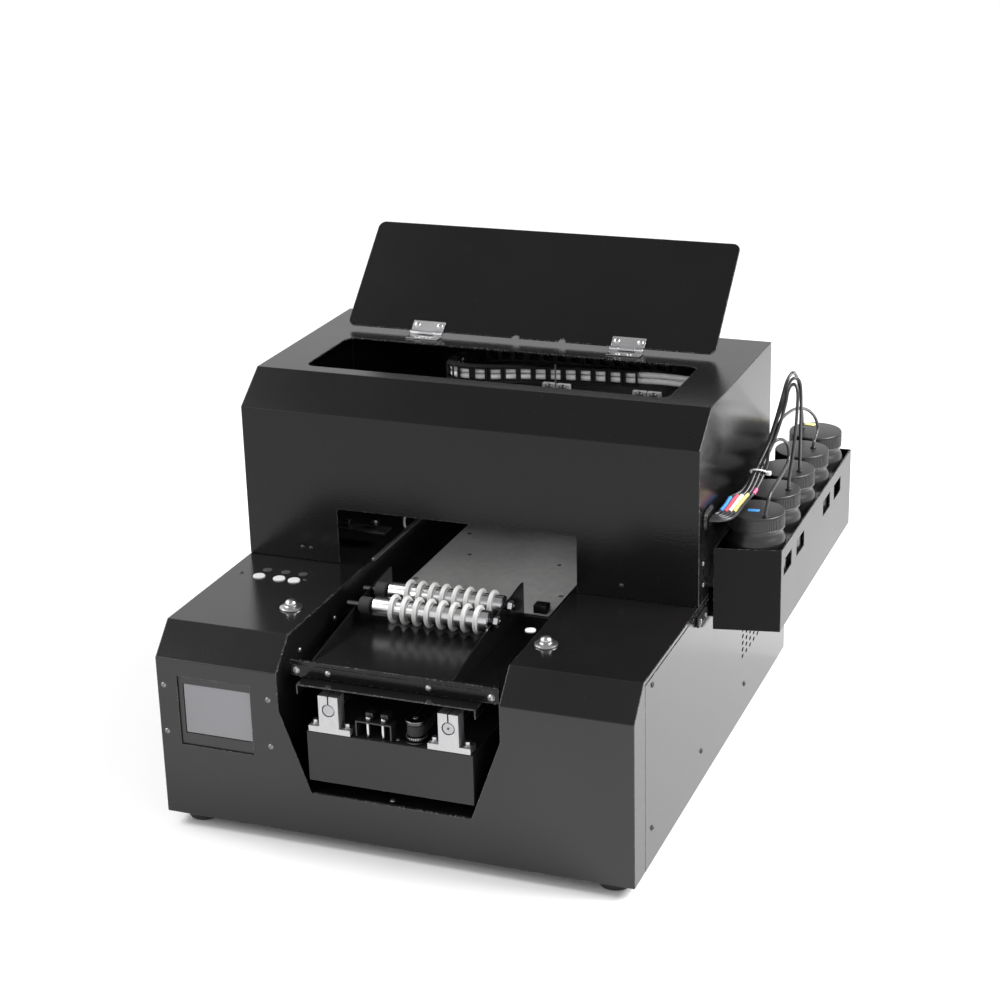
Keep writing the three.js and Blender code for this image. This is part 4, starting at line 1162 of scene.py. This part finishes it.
def makeInside():
    route = smoothRoute([(x, y, inside["chainMiddle"]) for x, y in inside["chain"]], 10)
    mesh = bpy.data.meshes.new("dragChain")
    mesh.from_pydata([at(*p) for p in route], [(i, i + 1) for i in range(len(route) - 1)], [])
    grow("dragChain", trees["chain"], {}, mesh, "casing", ("drag_chain",), sharp=0)
    for i, z in enumerate(inside["tubeRows"], 1):
        points = [(x, y, z) for x, y in inside["ribbonEnds"][::-1] + inside["chain"][:6]]
        tubePiece(f"chainTube{i}", points, 2.95, "clearTube", "casing", 6)
    near, far = inside["clipHalf"]
    half = inside["postHalf"]
    reach, y, z = inside["clipScrew"]
    clips, posts, heads = [], [], []
    for x in inside["clips"]:
        clips += [(x - far, x - near, *inside["clipExtent"]), (x + near, x + far, *inside["clipExtent"])]
        posts.append((x - half, x + half, *inside["postExtent"]))
        heads += [(x - reach, y, z), (x + reach, y, z)]
    roundedBoxes("chainClips", clips, "clip", "casing", 0.5)
    roundedBoxes("clipPosts", posts, "plastic", "casing", 0.6)
    screws("clipScrews", "darkPanHead", heads, front, 3.9, 2.2)
    tubePiece("guideRod", inside["guideRod"], 0.9, "turned", "casing")
    softened("carriage_beam", 0.5, "aluminium", cut=1, broad=0)
    roundedBoxes("beamRail", [inside["beamRail"]], "turned", "casing", 0.6)
    softened("print_carriage", 1.6, "plastic", cut=1, broad=0)
    softened("uv_lamp", 0.8, "aluminium", cut=1, broad=0)
    screws("carriageScrews", "panHead", inside["carriageScrews"], up, 2.4, 1.3, "carriage")
    roundedBoxes("lampFins", inside["fins"], "aluminium", "carriage", 0.3)
    roundedBoxes("innerRail", [inside["innerRail"]], "turned", "casing", 0.5)
    roundedBoxes("wireSockets", inside["sockets"], "greyScrew", "casing", 0.6)
    roundedBoxes("wireShelf", [inside["shelf"]], "plastic", "casing", 0.5)
    tubePiece("whiteWire", inside["whiteWire"], 1.2, "clearTube", "casing")


makeInside()
print("inside the hood")

rear = {
    "inlet": (128, 162, 52, 86),
    "flangeFaces": (549.1, 551.6),
    "recessFaces": (551.6, 552.2),
    "pins": [(144, 146, 72, 77), (137, 139, 62, 67), (151, 153, 62, 67)],
    "pinReach": (552.1, 556),
    "fan": (-130, 100),
    "fanProfile": [(0.5, 549.1), (36, 549.1), (37, 549.6), (36, 550.1), (0.5, 550.1)],
    "fanRings": (8, 16, 24, 32),
    "ringFace": 552.6,
    "ringThickness": 0.0009,
    "spokeFaces": (551.2, 552.4),
    "spoke": (35, 0.9),          # half length and half width
    "fanScrew": 32,              # from the fan's middle
}


def makeRear():
    x0, x1, z0, z1 = rear["inlet"]
    shell = [(x0, z0), (x1, z0), (x1, z1 - 5), (x1 - 5, z1), (x0 + 5, z1), (x0, z1 - 5)]
    plate("inletFlange", shell, *rear["flangeFaces"], "y", "plastic", "casing", "moulded_black", 0.8)
    recess = [(x0 + 4, z0 + 5), (x1 - 4, z0 + 5), (x1 - 4, z1 - 9), (x1 - 8, z1 - 5), (x0 + 8, z1 - 5),
              (x0 + 4, z1 - 9)]
    plate("inletRecess", recess, *rear["recessFaces"], "y", "rubber", "casing", "moulded_black", 0.2)
    pins = [(low, high, *rear["pinReach"], foot, top) for low, high, foot, top in rear["pins"]]
    roundedBoxes("inletPins", pins, "turned", "casing", 0.3)
    x, z = rear["fan"]
    lathe("fanRecess", rear["fanProfile"], (x, 0, z), "y", 64, "rubber", "casing")
    for i, radius in enumerate(rear["fanRings"], 1):
        seeds = pointMesh(f"fanRing{i}", [((x, rear["ringFace"], z), back)])
        sizes = {"radius": radius * 0.001, "thickness": rear["ringThickness"]}
        grow(f"fanRing{i}", trees["brightRing"], sizes, seeds, "casing", sharp=0)
    reach, half = rear["spoke"]
    faces = rear["spokeFaces"]
    spokes = [(x - reach, x + reach, *faces, z - half, z + half),
              (x - half, x + half, *faces, z - reach, z + reach)]
    roundedBoxes("fanSpokes", spokes, "turned", "casing", 0.3)
    spread = rear["fanScrew"]
    corners = [(x + dx, casing["back"], z + dz) for dx in (-spread, spread) for dz in (-spread, spread)]
    screws("fanScrews", "panHead", corners, back, 3.2, 1.8)


makeRear()
print("rear")
